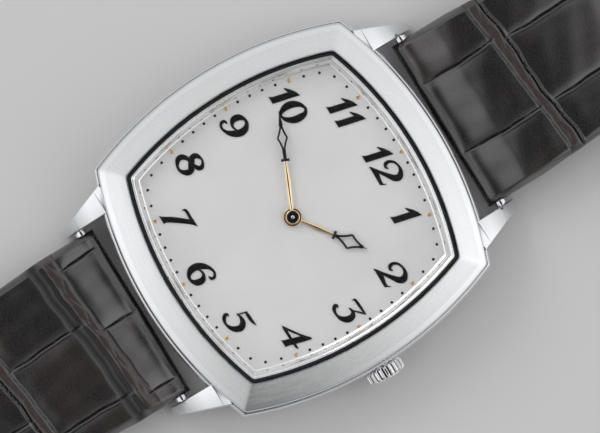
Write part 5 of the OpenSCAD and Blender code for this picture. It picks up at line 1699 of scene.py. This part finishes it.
@dataclass
class StrapHalf:
    """Half of the strap in padded scaled leather, with its lining.

    The distance s runs from the spring bar's line outwards, and x across the strap. lines holds where the
    lines of each row of scales stand across the strap, and its last entry repeats for the rows past it. The
    padding is thickest at s = crest and falls from there over crest_run. The underside comes down by heel,
    and the upper half up by lift, over ramp.
    """

    side: Side
    length: float
    lift: float
    folds: list[Fold]
    lines: list[list[float]]
    lined_to: float
    seed: int
    columns: int = 220
    lining_columns: int = 100
    wide: float = 11.25
    narrow: float = 9.0
    taper: tuple[float, float] = (6.0, 40.0)
    tip: float = 14.0
    tip_depth: float = 3.3
    ramp: float = 14.0
    heel: float = 0.65
    crest: float = 12.0
    crest_run: float = 33.0
    high_at_bar: float = 3.55
    crest_rise: float = 0.95
    crest_fall: float = 2.15
    high_at_end: float = 2.35
    bar_loop: float = 1.42
    bar_bore: float = 0.8
    buckle_loop: float = 1.145
    buckle_bore: float = 0.65
    slot_half: float = 1.6
    slot_back: float = 3.4
    slot_ahead: float = 3.0
    hole: float = 1.1
    hole_first: float = 30.0
    hole_pitch: float = 6.5
    hole_count: int = 7
    lining_from: float = 5.0
    lining_room: float = 0.7
    lining_sheet: float = 0.69

    def half(self, s: Array) -> Array:
        """Half width: even at first, then tapering, and an arc at the free tip.

        Args:
            s: Distances along the strap.

        Returns:
            Half widths.
        """
        width = np.interp(s, self.taper, [self.wide, self.narrow])
        if self.side is Side.SIX:
            centre = self.length - self.tip
            arc = np.sqrt(np.maximum(self.tip ** 2 - (s - centre) ** 2, 0.0))
            width = np.where(s > self.length - self.tip_depth, np.minimum(width, arc), width)
        return width

    def up(self, s: Array) -> Array:
        """Rise of the upper half over the ground: a half cosine over the ramp."""
        return self.lift * (1 - np.cos(np.pi * np.clip(s / self.ramp, 0, 1))) / 2

    def top(self, s: Array) -> Array:
        """Height of the padded top: a sine up to the crest, then a half cosine down.

        Args:
            s: Distances along the strap.

        Returns:
            Heights.
        """
        crest = self.crest
        rise = self.high_at_bar + self.crest_rise * np.sin(np.pi / 2 * np.clip(s, 0, crest) / crest)
        past = np.clip((s - crest) / self.crest_run, 0, 1)
        fall = self.high_at_end + self.crest_fall * (1 + np.cos(np.pi * past)) / 2
        return np.where(s < crest, rise, fall) + self.up(s)

    def low(self, s: Array) -> Array:
        """Height of the underside: a half cosine from the heel down to the ground."""
        return self.heel * (1 + np.cos(np.pi * np.clip(s / self.ramp, 0, 1))) / 2 + self.up(s)

    def stations(self) -> Array:
        """Places of the sections: round the bar's loop, closely near the case, then wider to the end.

        Returns:
            Distances along the strap.
        """
        quarter = np.linspace(0, np.pi / 2, 10)
        loop = -self.bar_loop * np.cos(quarter)[:-1]
        near = np.arange(0.0, 24.0, 0.13)
        if self.side is Side.SIX:
            far = np.arange(24.0, self.length - self.tip_depth, 0.34)
            end = self.length - self.tip + self.tip * np.cos(
                np.linspace(math.asin(self.narrow / self.tip), 0, 26))
        else:
            far = np.arange(24.0, self.length, 0.3)
            end = self.length + self.buckle_loop * np.sin(quarter)
        return np.concatenate([loop, near, far, end])

    def relief(self, x: Array, s: Array) -> tuple[Array, Array, Array]:
        """Scales on the top: pressed lines in each row, folds between rows and the swell of each scale.

        The height is that of the lines and folds, plus the swell times 0.16 and fine waves of 0.03, plus a
        soft shoulder of 0.52 near the case, from s = 0.3 to 13.

        Args:
            x: Places across the strap.
            s: Distances along it.

        Returns:
            Height, share of painted shade in folds, creases and lines, and share of band colour.
        """
        rng = np.random.default_rng(self.seed)
        made = ScaleRelief(x, s)
        starts = [-1.5] + [fold.place for fold in self.folds]
        ends = [fold.place for fold in self.folds] + [self.length + 1.5]
        slopes = [0.0] + [fold.slope for fold in self.folds] + [0.0]
        for row, (s0, s1) in enumerate(zip(starts, ends)):
            for x0 in self.lines[min(row, len(self.lines) - 1)]:
                start = (x0, s0 + slopes[row] * x0 + (1.0 if row == 0 else 1.2))
                end = (x0 + rng.uniform(-0.35, 0.35), s1 + slopes[row + 1] * x0 - rng.uniform(0.5, 0.8))
                made.press(start, end, rng.uniform(0.03, 0.08))
        for fold in self.folds:
            made.fold(fold)
        fine = 0.03 * np.sin(1.5 * x + 0.6 * s) * np.sin(1.0 * s - 0.7 * x + 2.0)
        shoulder = 0.52 * smoothstep(s, 0.3, 4.2) * (1 - smoothstep(s, 4.6, 13.0))
        return made.height + 0.16 * made.swell + fine * made.swell + shoulder, made.shade, made.band

    def sections(self, s: Array, high: Array, low: Array, inset: float, round_top: float, round_low: float,
                 columns: int, relief: bool = False) -> tuple[Array, Array, Array]:
        """Closed sections, with the two ends capped: the top from side to side, then the underside back.

        Near the outline both are rounded: r - sqrt(r squared - (r - e) squared) of the distance e to it.

        Args:
            s: Distances of the sections.
            high: Heights of the top.
            low: Heights of the underside.
            inset: How far the outline is drawn in.
            round_top: Radius of the upper edge.
            round_low: Radius of the lower edge.
            columns: Points across the top.
            relief: Whether the top carries scales.

        Returns:
            Points, share of painted shade and share of band colour.
        """
        v = np.linspace(-1, 1, columns)
        u = 0.8 * v + 0.2 * np.sin(np.pi * v / 2)
        width = np.maximum(self.half(s) - inset, 0.0)[:, None]
        x = width * u
        along = np.broadcast_to(s[:, None], x.shape)
        e = width - np.abs(x)
        if self.side is Side.SIX:
            past = along - self.length + self.tip
            to_tip = np.maximum(self.tip - inset - np.hypot(x, past), 0.0)
            e = np.where(past > 0, np.minimum(e, to_tip), e)
        room = (high - low)[:, None]
        drops = []
        for radius in (round_top, round_low):
            r = np.minimum(radius, 0.42 * room) + 1e-6
            drops.append(r - np.sqrt(np.maximum(r ** 2 - np.maximum(r - e, 0.0) ** 2, 0.0)))
        height, shade, band = self.relief(x, along) if relief else (np.zeros_like(x),) * 3
        fade = smoothstep(e, 0.1, 0.9) * smoothstep(room, 0.6, 2.2)
        fade = fade * np.interp(s, [0, 25, 60], [1, 0.8, 0.45])[:, None]
        height = np.where(height < 0, height * smoothstep(room, 0.3, 1.6), height * fade)
        upper = high[:, None] + height - drops[0]
        lower = low[:, None] + drops[1]
        few = np.unique(np.concatenate([np.arange(0, columns, 6), np.arange(8), columns - 1 - np.arange(8)]))
        back = few[::-1]
        y = self.side.value * (BAR_Y + np.concatenate([along, along[:, back]], axis=1))
        z = np.concatenate([upper, lower[:, back]], axis=1)
        points = np.stack([np.concatenate([x, x[:, back]], axis=1), y, z], axis=-1)
        blank = np.zeros_like(shade[:, back])
        shares = (np.concatenate([share, blank], axis=1) for share in (shade, band))
        return capped(points), *(np.pad(share, ((1, 1), (0, 0)), mode="edge") for share in shares)

    def levels(self, s: Array) -> tuple[Array, Array]:
        """Top and underside of the leather, with round loops at the bars and room for the lining.

        Args:
            s: Distances along the strap.

        Returns:
            Heights of the top and of the underside.
        """
        high, low = self.top(s), self.low(s)
        lined = smoothstep(s, self.lining_from - 0.05, self.lining_from + 0.05)
        lined = lined * (1 - smoothstep(s, self.lined_to - 0.05, self.lined_to + 0.05))
        low = low + self.lining_room * lined
        loop = np.sqrt(np.maximum(self.bar_loop ** 2 - np.minimum(s, 0) ** 2, 0.0025))
        high, low = np.where(s < 0, BAR_Z + loop, high), np.where(s < 0, BAR_Z - loop, low)
        if self.side is Side.TWELVE:
            end = np.sqrt(np.maximum(self.buckle_loop ** 2 - np.maximum(s - self.length, 0) ** 2, 0.0025))
            high = np.where(s > self.length, BUCKLE_Z + end, high)
            low = np.where(s > self.length, BUCKLE_Z - end, low)
        return high, low

    def cutters(self) -> list[Piece]:
        """Bores for the bars, and the tang's slot or the row of holes.

        Returns:
            Closed shapes to take out.
        """
        sign = self.side.value
        bore = rod("bar_bore", (-13, sign * BAR_Y, BAR_Z), (13, sign * BAR_Y, BAR_Z), self.bar_bore)
        if self.side is Side.SIX:
            return [bore, *self.holes()]
        y = BAR_Y + self.length
        half, back, ahead = self.slot_half, y - self.slot_back, y + self.slot_ahead
        box = fillet([(-half, back), (-half, ahead), (half, ahead), (half, back)], [0.5, 0, 0, 0.5], 6)
        rings = np.stack([np.column_stack([box, np.full(len(box), z)]) for z in (-1.0, 9.0)])
        return [bore, rod("buckle_bore", (-11, y, BUCKLE_Z), (11, y, BUCKLE_Z), self.buckle_bore),
                skin("tang_slot", capped(rings), [LINING])]

    def holes(self) -> list[Piece]:
        """Rods where the tang's holes go.

        Returns:
            Closed shapes to take out.
        """
        end = BAR_Y + self.length
        places = [-(end - self.hole_first - self.hole_pitch * k) for k in range(self.hole_count)]
        return [rod(f"hole_{k}", (0, y, -1), (0, y, 9), self.hole) for k, y in enumerate(places)]

    def build(self) -> None:
        """Make the leather half and its lining."""
        s = self.stations()
        high, low = self.levels(s)
        points, shade, band = self.sections(s, high, low, 0.0, 0.85, 0.3, self.columns, relief=True)
        word = "upper" if self.side is Side.TWELVE else "lower"
        # The fold attribute carries the painted shade.
        piece = skin(f"strap_{word}_leather", points, [SCALES], 50.0, fold=shade, band=band)
        carve(piece, self.cutters(), 50.0)
        settle(piece, f"strap_{word}", "strap_leather", f"strap_{word}")
        self.lining(s, word)

    def lining(self, s: Array, word: str) -> None:
        """Thin sheet of smooth leather under the half, from 5 mm past the bar.

        Args:
            s: The half's own distances.
            word: Which half it is for.
        """
        s = s[(s > self.lining_from + 0.05) & (s < self.lined_to - 0.08)]
        s = np.concatenate([[self.lining_from + 0.06], s, [self.lined_to - 0.06]])
        s = s[s < self.length - 0.35]
        low = self.low(s)
        points, _, _ = self.sections(s, low + self.lining_sheet, low, 0.12, 0.1, 0.25, self.lining_columns)
        piece = skin(f"lining_{word}_leather", points, [LINING], 50.0)
        if self.side is Side.SIX:
            carve(piece, self.holes(), 50.0)
        settle(piece, f"strap_{word}", "lining_leather", f"strap_{word}_lining")


@dataclass
class Keeper:
    """Leather loop round the strap."""

    node: str
    body: str
    y: float
    low: float
    width: float = 5.0
    inner: float = 9.3
    high: float = 5.0
    wall: float = 1.1
    inner_corner: float = 0.7
    outer_corner: float = 1.5

    def outline(self, half: float, low: float, high: float, corner: float) -> Array:
        """A rectangle with rounded corners in x and z, with the same count of points for every size.

        Args:
            half: Half its width.
            low: Height of its underside.
            high: Height of its top.
            corner: Where its corners start to turn, from each corner.

        Returns:
            x and z, one point a row.
        """
        points = [(-half, low), (half, low), (half, high), (-half, high)]
        rounded = fillet(points, [corner] * 4, 10)
        after = np.roll(rounded, -1, 0)
        share = np.linspace(0, 1, 6, endpoint=False)[None, :, None]
        return (rounded[:, None] * (1 - share) + after[:, None] * share).reshape(-1, 2)

    def build(self) -> None:
        """Carry a section round the loop, with its thickness between the inner and outer outlines.

        The section is a soft rectangle: its sides are cos a and sin a to the power 0.35, with their signs.
        """
        inner = self.outline(self.inner, self.low, self.high, self.inner_corner)
        outer = self.outline(self.inner + self.wall, 0.0, self.high + self.wall, self.outer_corner)
        a = round_angles(28)
        out, over = (np.sign(wave) * np.abs(wave) ** 0.35 for wave in (np.cos(a), np.sin(a)))
        share = (0.5 + 0.5 * out)[None, :, None]
        flat = inner[:, None] * (1 - share) + outer[:, None] * share
        y = np.broadcast_to(self.y + self.width / 2 * over, flat.shape[:2])
        points = np.stack([flat[..., 0], y, flat[..., 1]], axis=-1)
        loop = skin(self.node + "_leather", points, [LOOP], 60.0, ring=True)
        settle(loop, self.body, "strap_leather", self.node)


# Pieces that keep their own shape


@dataclass
class Movement:
    """The CAD nodes that keep their shape, by the finish they wear."""

    worn: tuple[tuple[Finish, tuple[str, ...]], ...] = (
        (SILVER_DIAL, ("dial",)),
        (GILT, ("movement_ring", "mainplate")),
        (BRUSHED_BACK, ("case_back_ring",)),
        (SAPPHIRE, ("case_back_crystal",)),
        (RUBBER, ("case_back_gasket", "stem_gasket")),
        (MIRROR, ("case_back_screws", "spring_bars", "buckle_frame", "buckle_bar", "buckle_tang")),
        (WHEEL_STEEL, ("crown_tube", "rotor_bearing", "barrel_arbor", "ratchet_wheel", "escape_wheel",
                       "pallet_fork", "crown_wheel", "click", "setting_lever", "yoke")),
        (RHODIUM, ("barrel_bridge", "train_bridge", "pallet_bridge", "balance_cock")),
        (BLUED, ("hairspring", "bridge_screws")),
        (RUBY, ("jewels",)),
        (BLACK, ("cannon_pinion",)),
        (BRASS, ("hour_wheel", "minute_wheel", "barrel", "centre_wheel", "third_wheel", "fourth_wheel",
                 "winding_wheel")),
        (DARK_STEEL, ("mainspring", "winding_pinion", "winding_stem", "sliding_pinion")),
        (GOLD, ("balance_wheel",)),
        (ROTOR_GOLD, ("rotor",)))

    def dress(self) -> None:
        """Give every shown CAD node its finish, and report any node that has none."""
        finishes = {name: finish for finish, names in self.worn for name in names}
        for name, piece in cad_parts.items():
            if piece.hide_render:
                continue
            finish = finishes.get(name)
            if finish is None:
                log.warning("%s has no finish", name)
                continue
            piece.data.materials.clear()
            piece.data.materials.append(Workshop.finish(finish))
            log.info("%s: %s", name, finish.name)


# The studio


@dataclass
class Studio:
    """Camera, floor, lamp and world.

    The camera looks at target, in millimetres; across is the picture's own x direction on the dial's plane,
    and tilt is how far the camera leans to +X and +Y, in degrees.
    """

    target: tuple[float, float, float] = (0.38, 0.776, 7.0)
    across: tuple[float, float, float] = (0.521, 0.8536, 0.0)
    far: float = 400.0
    lens: float = 203.4
    tilt: tuple[float, float] = (0.0, -2.5)
    floor_size: float = 1.5
    floor_drop: float = 0.0001
    surround: float = 1.1

    def camera(self) -> None:
        """Look down at the dial with the picture's slant, from 400 mm, leaning a little to 6 o'clock."""
        lean = [math.tan(math.radians(t)) for t in self.tilt]
        back = Vector((lean[0], lean[1], 1.0)).normalized()
        right = Vector(self.across) - Vector(self.across).dot(back) * back
        right.normalize()
        up = back.cross(right)
        place = Vector(self.target) * MM + back * self.far * MM
        data = bpy.data.cameras.new("camera")
        data.lens, data.sensor_width, data.clip_start = self.lens, 36.0, 0.01
        eye = add_object("camera", data)
        eye.matrix_world = Matrix(((right.x, up.x, back.x, place.x), (right.y, up.y, back.y, place.y),
                                   (right.z, up.z, back.z, place.z), (0, 0, 0, 1)))
        bpy.context.scene.camera = eye

    def floor(self) -> None:
        """A wide pale floor just under the watch."""
        size, drop = self.floor_size, -self.floor_drop
        mesh = bpy.data.meshes.new("floor")
        corners = [(-size, -size, drop), (size, -size, drop), (size, size, drop), (-size, size, drop)]
        mesh.from_pydata(corners, [], [(0, 1, 2, 3)])
        graph = MaterialGraph("floor_paper")
        tone = Mottle.use(graph, graph.place(), Density=30.0, Contrast=0.3)["Tone"]
        graph.give({"Base Color": graph.mix(tone, paint(206, 206, 206), paint(211, 211, 211)),
                    "Roughness": 0.9})
        mesh.materials.append(graph.made)
        add_object("floor", mesh)

    def lamp(self, name: str, place: tuple[float, float, float], size: float, power: float) -> None:
        """Hang one square soft lamp that faces the dial.

        Args:
            name: Its name.
            place: Where it hangs, in metres.
            size: Its side in metres.
            power: Its power in watts.
        """
        data = bpy.data.lights.new(name, "AREA")
        data.shape, data.size, data.energy = "SQUARE", size, power
        lamp = add_object(name, data)
        lamp.visible_glossy = False
        lamp.location = place
        lamp.rotation_euler = Vector(place).to_track_quat("Z", "Y").to_euler()

    def world(self) -> None:
        """Grey surround: pale panels past 6 and 12 o'clock, dimmer past 3 and 9, dark straight overhead.

        The brightness round the horizon is a sum of waves of the angle a from the +X side:
        0.77 + 0.15 sin a - 0.09 cos a + 0.3 sin 2a - 0.15 cos 2a + 0.15 sin 3a. Every term is made of
        s = sin a and c = cos a, such as 0.6 s c for 0.3 sin 2a and 0.15 s (3 - 4 s squared) for 0.15 sin 3a.
        """
        world = bpy.data.worlds.new("surround")
        bpy.context.scene.world = world
        world.use_nodes = True
        graph = Graph(world.node_tree)
        x, y, z = graph.parts(graph.node("ShaderNodeTexCoord").outputs["Generated"])
        flat = graph.vector_math("NORMALIZE", graph.vector(x, y, 0.0))
        c, s, _ = graph.parts(flat.outputs[0])
        ss = graph.times(s, s)
        level = 0.77
        for term in (graph.times(s, 0.15), graph.times(c, -0.09), graph.times(graph.times(s, c), 0.6),
                     graph.math("MULTIPLY_ADD", ss, 0.3, -0.15),
                     graph.times(graph.times(s, graph.math("MULTIPLY_ADD", ss, -4.0, 3.0)), 0.15)):
            level = graph.plus(term, level)
        level = graph.math("MAXIMUM", level, 0.22)
        level = graph.times(level, graph.spread(z, 0.9, 0.98, 1.0, 0.03))
        level = graph.times(level, graph.spread(z, 0.0, 0.45, 0.62, 1.0))
        surround = world.node_tree.nodes["Background"].inputs
        graph.feed(surround["Color"], graph.vector(level, level, graph.times(level, 1.01)))
        surround["Strength"].default_value = self.surround

    def build(self) -> None:
        """Set up the whole studio with Standard colour."""
        self.world()
        self.floor()
        self.lamp("soft_key", place=(-0.66, -0.1, 0.5), size=0.4, power=1.6)
        self.camera()
        bpy.context.scene.view_settings.view_transform = "Standard"


def strap_halves() -> list[StrapHalf]:
    """Both halves of the strap, each with its folds and the lines between its scales.

    Returns:
        The upper half and the lower half.
    """
    upper = [Fold(10.05, 0.096), Fold(24.0, 0.05), Fold(35.0, -0.03), Fold(44.5, 0.04), Fold(52.5, 0.0),
             Fold(59.5, 0.03), Fold(66.0, -0.02)]
    upper_lines = [[-5.3, 4.2], [-5.1, 4.15], [-4.6, 4.4], [-4.2, 3.6], [-6.0, -0.6, 5.2], [-5.0, 0.8, 5.6],
                   [-5.6, -0.4, 5.0], [-5.2, 0.6, 5.4]]
    lower = [Fold(4.25, -0.097, True), Fold(16.3, -0.12), Fold(28.5, -0.05), Fold(39.5, 0.03),
             Fold(49.0, -0.03), Fold(57.5, 0.03), Fold(65.5, 0.0), Fold(73.0, 0.02), Fold(80.0, -0.02),
             Fold(87.0, 0.02), Fold(93.5, 0.0), Fold(100.0, 0.02), Fold(106.0, -0.02)]
    lower_lines = [[-9.1, -0.2, 9.0], [-2.2, 7.7], [-4.4, 4.6], [-4.0, 3.7], [-5.8, 0.2, 5.5],
                   [-5.0, 0.8, 5.6], [-5.6, -0.7, 5.0], [-5.2, 0.6, 5.4]]
    return [StrapHalf(Side.TWELVE, 75.0, lift=0.95, folds=upper, lines=upper_lines, lined_to=71.0, seed=3),
            StrapHalf(Side.SIX, 115.0, lift=0.0, folds=lower, lines=lower_lines, lined_to=200.0, seed=5)]


def main() -> None:
    """Build the watch's pieces in order, dress the rest and set up the studio."""
    logging.basicConfig(level=logging.INFO, format="%(message)s")
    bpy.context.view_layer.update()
    CaseBand().build()
    Lugs().build()
    Bezel().build()
    crystal = Crystal()
    crystal.gasket()
    FlangeRing().build()
    MinuteTrack().build()
    Numerals().build()
    Hand("hour_hand", length=9.6, bar=5.35, eye_from=5.7, eye_to=8.95, eye_half=1.0, level=6.28, turn=54.5,
         hub_out=1.12, hub_in=0.97).build()
    Hand("minute_hand", length=12.65, bar=6.8, eye_from=7.95, eye_to=10.9, eye_half=0.69, level=6.71,
         turn=294.0, hub_out=0.86, hub_in=0.66, wire=0.24).build()
    PinTip().build()
    HubCap().build()
    crystal.glass()
    Crown().build()
    for half in strap_halves():
        half.build()
    Keeper("fixed_keeper", "strap_upper", y=88.85, low=0.95).build()
    Keeper("loose_keeper", "loose_keeper", y=79.85, low=0.65).build()
    Movement().dress()
    Studio().build()


if __name__ == "__main__":
    main()
